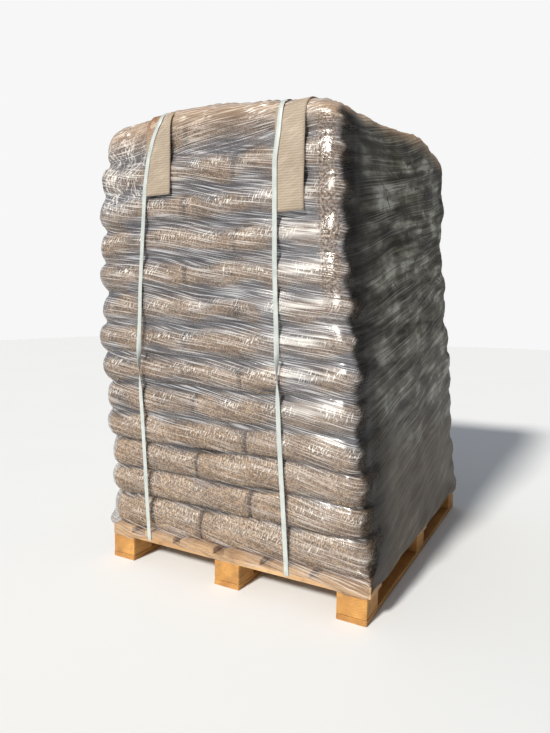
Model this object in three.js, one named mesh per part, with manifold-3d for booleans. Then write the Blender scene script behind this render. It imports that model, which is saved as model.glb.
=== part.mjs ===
// A block pallet loaded with thirteen layers of bagged wood pellets, wrapped in stretch film and strapped.
// Millimetres, +Z up. X runs across the 1000 mm front end, Y along the 1200 mm length, front end at -Y.
import * as THREE from 'three';
import * as BufferGeometryUtils from 'three/addons/utils/BufferGeometryUtils.js';
import Module from 'manifold-3d';

const wasm = await Module();
wasm.setup();

// Pallet
const palletWidth = 1000;
const palletLength = 1200;
const fitGap = 0.3;
const bottomBoardThickness = 18;
const blockHeight = 68;
const crossBoardThickness = 18;
const deckThickness = 20;
const blockWidth = 97;
const blockLength = 100;
const crossBoardWidth = 100;
const crossBoardChamfer = 3;
const blockRowCentres = { left: -451.5, middle: 1, right: 441 };
const blockLineCentres = { front: -548, middle: 0, back: 548 };
// Left edge and width of each deck board, from the left side of the front end
const deckBoards = [
  { left: -500, width: 90 },
  { left: -351, width: 129 },
  { left: -191, width: 139 },
  { left: -10, width: 139 },
  { left: 169, width: 135 },
  { left: 335, width: 165 },
];

// Bags, 13 layers from the deck up. Each layer's own height shows how far its load has settled.
const layerHeights = [123, 97, 107, 103, 103, 98, 111, 108, 110, 113, 107, 113, 150];
// How far the wrapped stack stands out at the left and right of the pallet's middle, layer by layer.
const leftReach = [528, 526, 528, 540, 546, 556, 572, 566, 560, 554, 556, 548, 534];
const rightReach = [497, 487, 477, 469, 462, 455, 444, 430, 419, 409, 400, 393, 390];
const frontReach = [590, 598, 603, 606, 605, 607, 609, 606, 607, 604, 606, 603, 598];
const backReach = [592, 600, 602, 607, 604, 608, 606, 609, 605, 606, 603, 604, 597];
// The lengthwise pair takes this share of a layer's width, and the three bags beside it take the rest.
const pairShare = 0.4;
const bagJoinOverlap = 7;
const rowGap = 3;
const layerGap = 0.8;
const middleBagSettle = 0.6;
const bagCornerRadius = 74;
const bagCornerSteps = 2;
const smallestBagRadius = 18;
// How a bag's edges draw in, from its flat lower or upper face to its full width: how far in, and how far
// from that face. The film draws the lowest bags in further, and nothing presses on the top ones.
const bagShoulder = [{ inset: 25, height: 0 }, { inset: 0, height: 40 }];
const lowestBagFoot = [{ inset: 46, height: 0 }, { inset: 0, height: 45 }];
const topBagFoot = [{ inset: 30, height: 0 }, { inset: 0, height: 60 }];
const topBagShoulder = [{ inset: 105, height: 0 }, { inset: 36, height: 24 }, { inset: 0, height: 66 }];
// How far each corner of the top has sunk
const crownDrop = { frontLeft: 8, frontRight: 46, backLeft: 0, backRight: 0 };

// Film, cardboard and straps, from the inside out
const filmStandOff = 4.5;
const filmThickness = 1;
const filmCornerRadius = 64;
const filmCornerSteps = 2;
const filmValleyDepth = 12;
const filmHemHeight = 87;
const filmDeckGap = 1.2;
const filmDeckCorner = 2;
// The film meets the lowest bags this far above the deck.
const filmOverDeck = 36;
// Rings where the film folds over the top edge: how far in from the side, and how far above the bags
const filmOverTop = [
  { inset: 8, rise: -34, radius: 64 },
  { inset: 44, rise: -2, radius: 60 },
  { inset: 100, rise: 6, radius: 50 },
  { inset: 215, rise: 7, radius: 24 },
];
// The film's top face above the bags, and the radius that it turns over their edge with
const crownHeight = 8;
const crownRadius = 75;
const crownSteps = 5;
const trimGap = 1;
const padThickness = 4;
const padWidth = 98;
const padReach = 250;
const padDrop = { left: 275, right: 362 };
// A pad's left edge is this far outside its strap's.
const padBesideStrap = 4;
const strapWidth = 16;
const strapThickness = 1;
const strapUnderDeck = 0.8;
// Where the middle of each strap runs at three heights. Both lean with the stack.
const straps = {
  left: { atDeck: -326, atMiddle: -345, atTop: -300 },
  right: { atDeck: 226, atMiddle: 190, atTop: 186 },
};

const deckUnderside = bottomBoardThickness + blockHeight + crossBoardThickness;
const deckTop = deckUnderside + deckThickness;
const lastLayer = layerHeights.length - 1;
const filmOut = filmStandOff + filmThickness;
const strapDistance = trimGap + padThickness + trimGap;

const pineSawn = () => new THREE.MeshStandardMaterial({ color: 0xcda06c, roughness: 0.8, metalness: 0 });
const pineBlock = () => new THREE.MeshStandardMaterial({ color: 0xd9a055, roughness: 0.8, metalness: 0 });
const baggedPellets = () => new THREE.MeshStandardMaterial({ color: 0xa5876e, roughness: 0.4, metalness: 0 });
const clearFilm = () => new THREE.MeshStandardMaterial({ color: 0xb4b6b8, roughness: 0.2, metalness: 0 });
const greyCard = () => new THREE.MeshStandardMaterial({ color: 0xc8a582, roughness: 0.9, metalness: 0 });
const whiteStrap = () => new THREE.MeshStandardMaterial({ color: 0xe1e8e1, roughness: 0.4, metalness: 0 });

const pallet = new THREE.Group();
const load = new THREE.Group();
const wrapping = new THREE.Group();

function addMesh(group, name, geometry, material) {
  const mesh = new THREE.Mesh(geometry, material);
  mesh.name = name;
  group.add(mesh);
  return mesh;
}

// Booleans work on merged vertices that hold a position only.
function toManifold(geometry) {
  const bare = geometry.clone();
  bare.deleteAttribute('normal');
  bare.deleteAttribute('uv');
  const merged = BufferGeometryUtils.mergeVertices(bare, 1e-3);
  return new wasm.Manifold(new wasm.Mesh({
    numProp: 3,
    vertProperties: new Float32Array(merged.attributes.position.array),
    triVerts: new Uint32Array(merged.index.array),
  }));
}

function fromManifold(solid) {
  const mesh = solid.getMesh();
  const geometry = new THREE.BufferGeometry();
  geometry.setAttribute('position', new THREE.BufferAttribute(mesh.vertProperties, 3));
  geometry.setIndex(new THREE.BufferAttribute(mesh.triVerts, 1));
  geometry.computeVertexNormals();
  return geometry;
}

// Turns a section drawn in the Y-Z plane and extruded so that its depth runs along X.
function extrudeAlongX(section, depth) {
  const geometry = new THREE.ExtrudeGeometry(section, { depth, bevelEnabled: false });
  const sectionToPallet = new THREE.Matrix4().makeBasis(
    new THREE.Vector3(0, 1, 0),
    new THREE.Vector3(0, 0, 1),
    new THREE.Vector3(1, 0, 0),
  );
  return geometry.applyMatrix4(sectionToPallet);
}

// Corner points of a rounded rectangle, counter-clockwise, as many for any radius.
function roundedRectangle({ left, right, front, back, radius }, cornerSteps) {
  const corners = [
    [right - radius, front + radius, -Math.PI / 2],
    [right - radius, back - radius, 0],
    [left + radius, back - radius, Math.PI / 2],
    [left + radius, front + radius, Math.PI],
  ];
  const points = [];
  for (const [cx, cy, start] of corners) {
    for (let step = 0; step <= cornerSteps; step += 1) {
      const angle = start + (step / cornerSteps) * (Math.PI / 2);
      points.push(new THREE.Vector2(cx + radius * Math.cos(angle), cy + radius * Math.sin(angle)));
    }
  }
  return points;
}

// A closed body whose levels are rounded rectangles, each at its own height. A lathe gives the faces, and
// each of its vertices then moves to its place on its level's outline. The levels either end in a flat face
// below and above, or run round a wall and close on themselves.
function bodyFromLevels(levels, cornerSteps, isWall) {
  const columns = 4 * (cornerSteps + 1);
  const profile = levels.map((level, index) => new THREE.Vector2(1, index));
  if (isWall) {
    profile.push(profile[0]);
  } else {
    profile.unshift(new THREE.Vector2(0, 0));
    profile.push(new THREE.Vector2(0, levels.length - 1));
  }
  const geometry = new THREE.LatheGeometry(profile, columns);
  const outlines = levels.map((level) => roundedRectangle(level, cornerSteps));
  const place = geometry.attributes.position;
  for (let index = 0; index < place.count; index += 1) {
    const level = Math.round(place.getY(index));
    const { left, right, front, back, z } = levels[level];
    if (Math.hypot(place.getX(index), place.getZ(index)) < 0.5) {
      place.setXYZ(index, (left + right) / 2, (front + back) / 2, z);
    } else {
      const turn = Math.atan2(place.getX(index), place.getZ(index)) / (2 * Math.PI);
      const column = Math.round(turn * columns + columns) % columns;
      const point = outlines[level][column];
      place.setXYZ(index, point.x, point.y, z);
    }
  }
  return toManifold(geometry);
}

// The corners of the top have sunk by different amounts. What lies on the top layer goes down with it.
function sinkCrown(geometry) {
  const { lerp, clamp, inverseLerp } = THREE.MathUtils;
  const place = geometry.attributes.position;
  for (let index = 0; index < place.count; index += 1) {
    const z = place.getZ(index);
    const toRight = inverseLerp(-leftReach[lastLayer], rightReach[lastLayer], place.getX(index));
    const toBack = inverseLerp(-frontReach[lastLayer], backReach[lastLayer], place.getY(index));
    const atFront = lerp(crownDrop.frontLeft, crownDrop.frontRight, toRight);
    const atBack = lerp(crownDrop.backLeft, crownDrop.backRight, toRight);
    const share = clamp((z - bottoms[lastLayer]) / layerHeights[lastLayer], 0, 1);
    place.setZ(index, z - share * lerp(atFront, atBack, toBack));
  }
  return geometry;
}

// Wood

function addBoard(name, size, centre, material) {
  const board = addMesh(pallet, name, new THREE.BoxGeometry(...size), material);
  board.position.set(...centre);
}

// A cross board's long lower edges are planed off a little, as on sawn pallet boards.
function crossBoardGeometry() {
  const half = crossBoardWidth / 2;
  const section = new THREE.Shape();
  section.moveTo(-half + crossBoardChamfer, 0);
  section.lineTo(half - crossBoardChamfer, 0);
  section.lineTo(half, crossBoardChamfer);
  section.lineTo(half, crossBoardThickness);
  section.lineTo(-half, crossBoardThickness);
  section.lineTo(-half, crossBoardChamfer);
  section.closePath();
  return extrudeAlongX(section, palletWidth).translate(-palletWidth / 2, 0, 0);
}

function buildPallet() {
  const bottomHeight = bottomBoardThickness - fitGap;
  for (const [side, x] of Object.entries(blockRowCentres)) {
    const size = [blockWidth, palletLength, bottomHeight];
    addBoard(`bottom_board_${side}`, size, [x, 0, bottomHeight / 2], pineBlock());
    for (const [line, y] of Object.entries(blockLineCentres)) {
      const height = blockHeight - fitGap;
      const centre = [x, y, bottomBoardThickness + height / 2];
      addBoard(`block_${line}_${side}`, [blockWidth, blockLength, height], centre, pineBlock());
    }
  }
  const crossBoardReach = (palletLength - crossBoardWidth) / 2;
  for (const [line, y] of Object.entries({ front: -crossBoardReach, middle: 0, back: crossBoardReach })) {
    const board = addMesh(pallet, `cross_board_${line}`, crossBoardGeometry(), pineSawn());
    board.position.set(0, y, bottomBoardThickness + blockHeight);
  }
  deckBoards.forEach(({ left, width }, index) => {
    const height = deckThickness - fitGap;
    const centre = [left + width / 2, 0, deckUnderside + fitGap + height / 2];
    addBoard(`deck_board_${index + 1}`, [width, palletLength, height], centre, pineSawn());
  });
}

// Bags

// One filled bag: a rounded rectangle in plan whose shoulders draw in above and below.
function bagSolid(plan, layer, bottom, top) {
  const foot = { 0: lowestBagFoot, [lastLayer]: topBagFoot }[layer] ?? bagShoulder;
  const shoulder = layer === lastLayer ? topBagShoulder : bagShoulder;
  const level = (inset, z) => ({
    left: plan.left + inset,
    right: plan.right - inset,
    front: plan.front + inset,
    back: plan.back - inset,
    radius: Math.max(bagCornerRadius - inset, smallestBagRadius),
    z,
  });
  const levels = [
    ...foot.map(({ inset, height }) => level(inset, bottom + height)),
    ...shoulder.map(({ inset, height }) => level(inset, top - height)).reverse(),
  ];
  return bodyFromLevels(levels, bagCornerSteps, false);
}

// A row holds the bags that lie one behind the other along Y. They touch, so they join in one solid.
function bagRow(left, right, layer, count) {
  const bottom = bottoms[layer] + (layer === 0 ? fitGap : layerGap / 2);
  const top = bottoms[layer + 1] - layerGap / 2;
  const rowFront = -frontReach[layer];
  const pitch = (backReach[layer] - rowFront) / count;
  let row = null;
  for (let bag = 0; bag < count; bag += 1) {
    const front = rowFront + bag * pitch - (bag > 0 ? bagJoinOverlap : 0);
    const back = rowFront + (bag + 1) * pitch + (bag < count - 1 ? bagJoinOverlap : 0);
    const settle = (bag % 2) * middleBagSettle;
    const solid = bagSolid({ left, right, front, back }, layer, bottom, top - settle);
    row = row ? row.add(solid) : solid;
  }
  return sinkCrown(fromManifold(row));
}

function layerBottoms() {
  const heights = [deckTop];
  for (const height of layerHeights) {
    heights.push(heights[heights.length - 1] + height);
  }
  return heights;
}

// The pair lies at the left in the lowest layer, at the right in the next, and so on up.
function buildBags() {
  layerHeights.forEach((height, layer) => {
    const left = -leftReach[layer];
    const right = rightReach[layer];
    const number = String(layer + 1).padStart(2, '0');
    const pairAtLeft = layer % 2 === 0;
    const joint = left + (pairAtLeft ? pairShare : 1 - pairShare) * (right - left);
    const sides = [
      [left, joint - rowGap / 2],
      [joint + rowGap / 2, right],
    ];
    const [pairSide, trioSide] = pairAtLeft ? sides : sides.reverse();
    addMesh(load, `bags_${number}_pair`, bagRow(...pairSide, layer, 2), baggedPellets());
    addMesh(load, `bags_${number}_trio`, bagRow(...trioSide, layer, 3), baggedPellets());
  });
}

// Film

// The film's outer face, from its hem up over the top edge.
function filmLevels() {
  const around = (layer, inset, z) => ({
    left: -leftReach[layer] - filmOut + inset,
    right: rightReach[layer] + filmOut - inset,
    front: -frontReach[layer] - filmOut + inset,
    back: backReach[layer] + filmOut - inset,
    radius: filmCornerRadius,
    z,
  });
  const hem = filmDeckGap + filmThickness;
  const atDeck = {
    left: -palletWidth / 2 - hem,
    right: palletWidth / 2 + hem,
    front: -palletLength / 2 - hem,
    back: palletLength / 2 + hem,
    radius: filmDeckCorner,
  };
  const levels = [
    { ...atDeck, z: filmHemHeight },
    { ...atDeck, z: deckTop + filmThickness },
    around(0, 0, deckTop + filmOverDeck),
  ];
  for (let layer = 0; layer <= lastLayer; layer += 1) {
    levels.push(around(layer, 0, (bottoms[layer] + bottoms[layer + 1]) / 2));
    if (layer < lastLayer) {
      // Between two layers the film bridges the valley from the one that stands out further.
      const here = around(layer, filmValleyDepth, bottoms[layer + 1]);
      const next = around(layer + 1, filmValleyDepth, bottoms[layer + 1]);
      levels.push({
        ...here,
        left: Math.min(here.left, next.left),
        right: Math.max(here.right, next.right),
        front: Math.min(here.front, next.front),
        back: Math.max(here.back, next.back),
      });
    }
  }
  for (const { inset, rise, radius } of filmOverTop) {
    levels.push({ ...around(lastLayer, inset, bottoms[lastLayer + 1] + rise), radius });
  }
  return levels;
}

function buildFilm() {
  const outer = filmLevels();
  const inner = outer.map(({ left, right, front, back, radius, z }, index) => ({
    left: left + filmThickness,
    right: right - filmThickness,
    front: front + filmThickness,
    back: back - filmThickness,
    radius: Math.max(radius - filmThickness, 1),
    // Over the top edge the film lies flat, so there its thickness is measured downwards as well.
    z: index > outer.length - filmOverTop.length ? z - filmThickness : z,
  }));
  const wall = bodyFromLevels([...outer, ...inner.reverse()], filmCornerSteps, true);
  addMesh(wrapping, 'stretch_film', sinkCrown(fromManifold(wall)), clearFilm());
}

// Straps and edge pads

// Points in the Y-Z plane up one end of the load and over its edge, this far outside the film. They start at
// the first layer whose middle is above the lowest height.
function endProfile(reach, distance, lowest) {
  const points = [];
  reach.forEach((layerReach, layer) => {
    const middle = (bottoms[layer] + bottoms[layer + 1]) / 2;
    if (middle > lowest) {
      points.push(new THREE.Vector2(layerReach + filmOut + distance, middle));
    }
  });
  const radius = crownRadius + distance;
  const centre = new THREE.Vector2(
    reach[lastLayer] + filmOut + distance - radius,
    bottoms[lastLayer + 1] + crownHeight + distance - radius,
  );
  for (let step = 1; step <= crownSteps; step += 1) {
    const angle = (step / crownSteps) * (Math.PI / 2);
    points.push(new THREE.Vector2(
      centre.x + radius * Math.cos(angle),
      centre.y + radius * Math.sin(angle),
    ));
  }
  return points;
}

// A strap's run round the load, from under the front of the pallet over the top to under the back.
function strapLoop(distance) {
  const offset = distance - strapDistance;
  const deckFace = palletLength / 2 + filmDeckGap + filmThickness + trimGap + offset;
  const underside = bottomBoardThickness + blockHeight - strapUnderDeck - offset;
  const upOneEnd = (reach) => [
    new THREE.Vector2(deckFace, underside),
    new THREE.Vector2(deckFace, deckTop - strapWidth / 4),
    ...endProfile(reach, distance, deckTop),
  ];
  const front = upOneEnd(frontReach).map((point) => new THREE.Vector2(-point.x, point.y));
  return [...front, ...upOneEnd(backReach).reverse()];
}

// How far to the side a strap runs at a height
function strapSide({ atDeck, atMiddle, atTop }, height) {
  const share = (height - deckTop) / (bottoms[lastLayer + 1] - deckTop);
  const curve = new THREE.QuadraticBezierCurve(
    new THREE.Vector2(0, atDeck),
    new THREE.Vector2(0.5, 2 * atMiddle - (atDeck + atTop) / 2),
    new THREE.Vector2(1, atTop),
  );
  return curve.getPoint(THREE.MathUtils.clamp(share, 0, 1)).y;
}

function buildStrap(side) {
  const belt = new THREE.Shape(strapLoop(strapDistance + strapThickness));
  belt.holes.push(new THREE.Path(strapLoop(strapDistance).reverse()));
  const geometry = extrudeAlongX(belt, strapWidth).translate(-strapWidth / 2, 0, 0);
  const place = geometry.attributes.position;
  for (let index = 0; index < place.count; index += 1) {
    place.setX(index, place.getX(index) + strapSide(straps[side], place.getZ(index)));
  }
  addMesh(wrapping, `strap_${side}`, sinkCrown(geometry), whiteStrap());
}

// A pad is a flat strip of board folded over the top edge under a strap.
function buildPad(side, end) {
  const reach = end === 'front' ? frontReach : backReach;
  const sign = end === 'front' ? -1 : 1;
  const lowest = bottoms[lastLayer + 1] - padDrop[side];
  const face = (distance) => {
    const points = endProfile(reach, distance, lowest);
    const top = points[points.length - 1];
    points.unshift(new THREE.Vector2(points[0].x, lowest));
    points.push(new THREE.Vector2(top.x + crownRadius - padReach, top.y));
    return points;
  };
  const outline = [...face(trimGap + padThickness), ...face(trimGap).reverse()];
  const section = new THREE.Shape(outline.map((point) => new THREE.Vector2(sign * point.x, point.y)));
  const geometry = extrudeAlongX(section, padWidth);
  geometry.translate(straps[side].atTop - strapWidth / 2 - padBesideStrap, 0, 0);
  addMesh(wrapping, `edge_pad_${end}_${side}`, sinkCrown(geometry), greyCard());
}

const bottoms = layerBottoms();
buildPallet();
buildBags();
buildFilm();
for (const side of ['left', 'right']) {
  buildStrap(side);
  buildPad(side, 'front');
  buildPad(side, 'back');
}

// The origin is on the ground, in the middle of everything seen from above.
const palletOfPellets = new THREE.Group();
palletOfPellets.add(pallet, load, wrapping);
palletOfPellets.updateMatrixWorld(true);
const middle = new THREE.Box3().setFromObject(palletOfPellets).getCenter(new THREE.Vector3());
palletOfPellets.position.set(-middle.x, -middle.y, 0);

export default palletOfPellets;
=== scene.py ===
import math
from types import SimpleNamespace
import bpy
import numpy as np
from mathutils import Matrix, Vector


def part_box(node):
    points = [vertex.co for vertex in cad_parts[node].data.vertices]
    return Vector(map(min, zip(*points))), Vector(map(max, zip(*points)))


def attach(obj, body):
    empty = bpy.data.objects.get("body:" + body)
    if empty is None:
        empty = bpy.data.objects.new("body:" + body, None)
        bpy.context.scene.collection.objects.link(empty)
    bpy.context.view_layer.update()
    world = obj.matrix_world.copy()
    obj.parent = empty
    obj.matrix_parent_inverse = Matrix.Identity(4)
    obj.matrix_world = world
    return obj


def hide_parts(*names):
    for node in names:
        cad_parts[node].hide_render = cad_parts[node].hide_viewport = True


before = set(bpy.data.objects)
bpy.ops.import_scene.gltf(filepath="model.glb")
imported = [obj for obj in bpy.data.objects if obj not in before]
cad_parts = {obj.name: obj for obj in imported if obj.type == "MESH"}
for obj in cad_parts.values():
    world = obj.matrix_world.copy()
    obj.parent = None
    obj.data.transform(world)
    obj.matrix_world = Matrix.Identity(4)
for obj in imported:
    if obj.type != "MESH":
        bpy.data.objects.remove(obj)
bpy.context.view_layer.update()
print("stage: model loaded")

mm = 0.001
fullTurn = 6.283        # radians
layerCount = 13


# Small helpers for shapes

def boxOf(node):
    low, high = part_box(node)
    return np.array(low), np.array(high)


def smooth(value, start, end):
    share = np.clip((value - start) / (end - start), 0, 1)
    return share * share * (3 - 2 * share)


def ripple(points, wavelength, seed, waves=14):
    # a smooth random field around zero, the sum of sine waves in random directions
    chance = np.random.default_rng(seed)
    heading = chance.normal(size=(waves, points.shape[-1]))
    heading /= np.linalg.norm(heading, axis=1)[:, None]
    pitch = 2 * math.pi / (wavelength * chance.uniform(0.7, 1.5, waves))
    phase = chance.uniform(0, 2 * math.pi, waves)
    return np.sin(points @ (heading * pitch[:, None]).T + phase).sum(axis=-1) / math.sqrt(waves / 2)


def slanted(along, up, angle, length, width, seed):
    # a field whose features are drawn out along a line that rises by this angle
    turn = math.radians(angle)
    down = along * math.cos(turn) + up * math.sin(turn)
    across = up * math.cos(turn) - along * math.sin(turn)
    return ripple(np.stack([down / length, across / width], axis=-1), 1.0, seed, 24)


def crease(field, width):
    # narrow ridges along the field's zero lines
    return np.exp(-(field / width) ** 2)


def gridNormals(points):
    # for rows of points that are closed round each row
    across = np.roll(points, -1, axis=1) - np.roll(points, 1, axis=1)
    normals = np.cross(across, np.gradient(points, axis=0))
    return normals / np.maximum(np.linalg.norm(normals, axis=-1, keepdims=True), 1e-9)


def addMesh(name, verts, faces, uvs, attributes=None):
    # faces: arrays of corner numbers, one array for each number of corners
    faces = [np.asarray(group) for group in faces]
    corners = np.concatenate([group.ravel() for group in faces]).astype(np.int32)
    sizes = np.repeat([group.shape[1] for group in faces], [len(group) for group in faces])
    starts = np.concatenate([[0], np.cumsum(sizes)[:-1]]).astype(np.int32)
    mesh = bpy.data.meshes.new(name)
    mesh.vertices.add(len(verts))
    mesh.vertices.foreach_set("co", np.asarray(verts, dtype=np.float32).ravel())
    mesh.loops.add(len(corners))
    mesh.loops.foreach_set("vertex_index", corners)
    mesh.polygons.add(len(sizes))
    mesh.polygons.foreach_set("loop_start", starts)
    mesh.update(calc_edges=True)
    layer = mesh.uv_layers.new(name="OFBake")
    layer.data.foreach_set("uv", np.asarray(uvs, dtype=np.float32).ravel())
    for title, values in (attributes or {}).items():
        values = np.asarray(values, dtype=np.float32)
        if values.ndim == 1:
            mesh.attributes.new(title, "FLOAT", "POINT").data.foreach_set("value", values)
        else:
            mesh.attributes.new(title, "FLOAT_VECTOR", "POINT").data.foreach_set("vector", values.ravel())
    piece = bpy.data.objects.new(name, mesh)
    bpy.context.collection.objects.link(piece)
    return piece


def gridPiece(name, points, capped=True, attributes=None, flatCaps=False):
    # points[row, column]: rows of columns, closed round each row, with a flat cap on the first and last row
    rows, columns = points.shape[:2]
    number = np.arange(rows * columns).reshape(rows, columns)
    beside = np.roll(number, -1, axis=1)
    quads = np.stack([number[:-1], beside[:-1], beside[1:], number[1:]], axis=-1).reshape(-1, 4)
    u0, v0 = np.meshgrid(np.arange(columns) / columns, np.arange(rows - 1) / (rows - 1))
    u1, v1 = u0 + 1 / columns, v0 + 1 / (rows - 1)
    uvs = np.stack([u0, v0, u1, v0, u1, v1, u0, v1], axis=-1).reshape(-1, 2)
    wallShare = 0.86 if capped else 1.0     # of the texture square's height, the caps have the rest
    uvs = uvs * (0.998, 0.996 * wallShare) + 0.001
    faces = [quads]
    if capped:
        faces.append(np.stack([number[0][::-1], number[-1]]))
        for index, cap in enumerate(faces[1]):
            flat = points.reshape(-1, 3)[cap]
            spread = np.ptp(flat, axis=0)
            axes = sorted(np.argsort(spread)[1:])
            shape = (flat[:, axes] - flat[:, axes].min(0)) / np.maximum(spread[axes], 1e-6)
            uvs = np.concatenate([uvs, shape * (0.48, 0.11) + (0.01 + 0.5 * index, 0.88)])
    marks = {title: values.reshape(rows * columns, *values.shape[2:])
             for title, values in (attributes or {}).items()}
    piece = addMesh(name, points.reshape(-1, 3), faces, uvs, marks)
    isSmooth = np.ones(len(piece.data.polygons), dtype=bool)
    if flatCaps:
        isSmooth[len(quads):] = False
    piece.data.polygons.foreach_set("use_smooth", isSmooth)
    return piece


def atlasUvs(faces):
    # a small square of its own for each face
    across = math.ceil(math.sqrt(sum(len(group) for group in faces)))
    corner = np.array([[0.1, 0.1], [0.9, 0.1], [0.9, 0.9], [0.1, 0.9]])
    start, uvs = 0, []
    for group in faces:
        number = start + np.arange(len(group))
        cell = np.stack([number % across, number // across], axis=-1)
        uvs.append(((cell[:, None] + corner[:group.shape[1]]) / across).reshape(-1, 2))
        start += len(group)
    return np.concatenate(uvs)


def dress(piece, slot, material, *nodes):
    piece.data.materials.append(material)
    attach(piece, "root")
    if nodes:
        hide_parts(*nodes)
    return piece


# Rounded rectangles in plan: columns run round from the front left corner, to the right along the front

def makePlan(counts, cornerSteps):
    plan = []
    for side, count in enumerate(counts):
        plan += [(side, step / count, False) for step in range(count + 1)]
        plan += [(side, step / cornerSteps, True) for step in range(1, cornerSteps)]
    return plan


def outline(left, right, front, back, radii, plan):
    # radii: of the corners front right, back right, back left and front left
    columns = []
    for side, share, isCorner in plan:
        before, after = radii[side - 1], radii[side]
        if isCorner:
            angle = math.radians(90 * (side - 1 + share))
            x = (right - after if side in (0, 1) else left + after) + after * math.cos(angle)
            y = (front + after if side in (0, 3) else back - after) + after * math.sin(angle)
        elif side in (0, 2):
            start, end = (left + before, right - after) if side == 0 else (right - before, left + after)
            x = start + share * (end - start)
            y = (front if side == 0 else back) + 0 * x
        else:
            start, end = (front + before, back - after) if side == 1 else (back - before, front + after)
            y = start + share * (end - start)
            x = (right if side == 1 else left) + 0 * y
        columns.append(np.stack([x, y], axis=-1))
    return np.stack(columns, axis=1)


def planAngles(plan):
    return np.radians([90 * (side - 1 + (share if isCorner else 0)) for side, share, isCorner in plan])


# Shader maths: an expression on values adds its Math nodes

def fillRamp(ramp, stops):
    while len(ramp.elements) < len(stops):
        ramp.elements.new(0.5)
    for element, (position, stopColour) in zip(ramp.elements, stops):
        element.position = position
        element.color = stopColour


class Value:
    def __init__(self, tree, socket=None):
        self.tree = tree
        self.socket = socket

    def node(self, kind, settings=None, values=None, output=0):
        made = self.tree.nodes.new("ShaderNode" + kind)
        for title, setting in (settings or {}).items():
            if title == "stops":
                fillRamp(made.color_ramp, setting)
            else:
                setattr(made, title, setting)
        for title, value in (values or {}).items():
            if isinstance(value, Value):
                self.tree.links.new(value.socket, made.inputs[title])
            else:
                made.inputs[title].default_value = value
        return Value(self.tree, made.outputs[output])

    def math(self, operation, first, second=0.0):
        return self.node("Math", {"operation": operation}, {0: first, 1: second})

    def __add__(self, other):
        return self.math("ADD", self, other)

    def __radd__(self, other):
        return self.math("ADD", other, self)

    def __sub__(self, other):
        return self.math("SUBTRACT", self, other)

    def __rsub__(self, other):
        return self.math("SUBTRACT", other, self)

    def __mul__(self, other):
        return self.math("MULTIPLY", self, other)

    def __rmul__(self, other):
        return self.math("MULTIPLY", other, self)

    def __truediv__(self, other):
        return self.math("DIVIDE", self, other)

    def __rtruediv__(self, other):
        return self.math("DIVIDE", other, self)

    def __pow__(self, other):
        return self.math("POWER", self, other)

    def __rpow__(self, other):
        return self.math("POWER", other, self)

    def least(self, other):
        return self.math("MINIMUM", self, other)

    def most(self, other):
        return self.math("MAXIMUM", self, other)

    def sine(self):
        return self.math("SINE", self)

    def root(self):
        return self.math("SQRT", self)

    def size(self):
        return self.math("ABSOLUTE", self)

    def rise(self, start, end, low=0.0, high=1.0):
        # a smooth step from low to high
        settings = {"interpolation_type": "SMOOTHSTEP"}
        return self.node("MapRange", settings, {0: self, 1: start, 2: end, 3: low, 4: high})

    def attribute(self, title, output):
        return self.node("Attribute", {"attribute_name": title}, {}, output)

    def part(self, axis):
        return self.node("SeparateXYZ", {}, {0: self}, "XYZ".index(axis))

    def vector(self, x, y, z):
        return self.node("CombineXYZ", {}, {0: x, 1: y, 2: z})

    def drawnOut(self, turn, length, width, depth=1.0):
        # texture space turned by three angles and drawn out, so that a pattern runs in streaks
        return self.node("Mapping", {"vector_type": "TEXTURE"}, {
            "Vector": self, "Rotation": tuple(math.radians(angle) for angle in turn),
            "Scale": (length, width, depth)})

    def cells(self):
        # distance from the middle of the nearest cell, and a random vector for each cell
        distance = self.node("TexVoronoi", {"feature": "F1"}, {"Vector": self, "Scale": 1.0}, "Distance")
        return distance, Value(self.tree, distance.socket.node.outputs["Color"])

    def noise(self, scale, detail=2.0, roughness=0.5):
        values = {"Vector": self, "Scale": scale, "Detail": detail, "Roughness": roughness}
        return self.node("TexNoise", {}, values)

    def streaks(self, slope, length, width, detail=1.0, roughness=0.5):
        # noise drawn out into streaks that rise by this many degrees
        return self.drawnOut((0, 0, slope), length, width).noise(1.0, detail, roughness)

    def edges(self):
        # distance from the nearest border between cells
        settings = {"feature": "DISTANCE_TO_EDGE"}
        return self.node("TexVoronoi", settings, {"Vector": self, "Scale": 1.0}, "Distance")

    def ramp(self, *stops):
        return self.node("ValToRGB", {"stops": stops}, {0: self})

    def blend(self, first, second):
        # self is the share of the second colour
        return self.node("Mix", {"data_type": "RGBA"}, {0: self, 6: first, 7: second}, 2)

    def bump(self, strength, distance):
        return self.node("Bump", {}, {"Strength": strength, "Distance": distance, "Height": self})


def newMaterial(name):
    material = bpy.data.materials.new(name)
    material.use_nodes = True
    material.node_tree.nodes.clear()
    return material, Value(material.node_tree)


def finishSurface(shade, shader):
    end = shade.tree.nodes.new("ShaderNodeOutputMaterial")
    shade.tree.links.new(shader.socket, end.inputs["Surface"])


def colour(red, green, blue):
    # a screen colour, 0 to 255, as the linear and opaque one that shaders use
    linear = [((part / 255 + 0.055) / 1.055) ** 2.4 if part > 10 else part / 255 / 12.92
              for part in (red, green, blue)]
    return (*linear, 1)


# Camera and light

cameraSetup = {
    "place": (1.0445, -2.111, 0.913),
    "yaw": -28.76,      # degrees to the right of straight along the length
    "pitch": 5.52,      # degrees down
    "roll": 0.55,
    "lens": 27.93,
}


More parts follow.
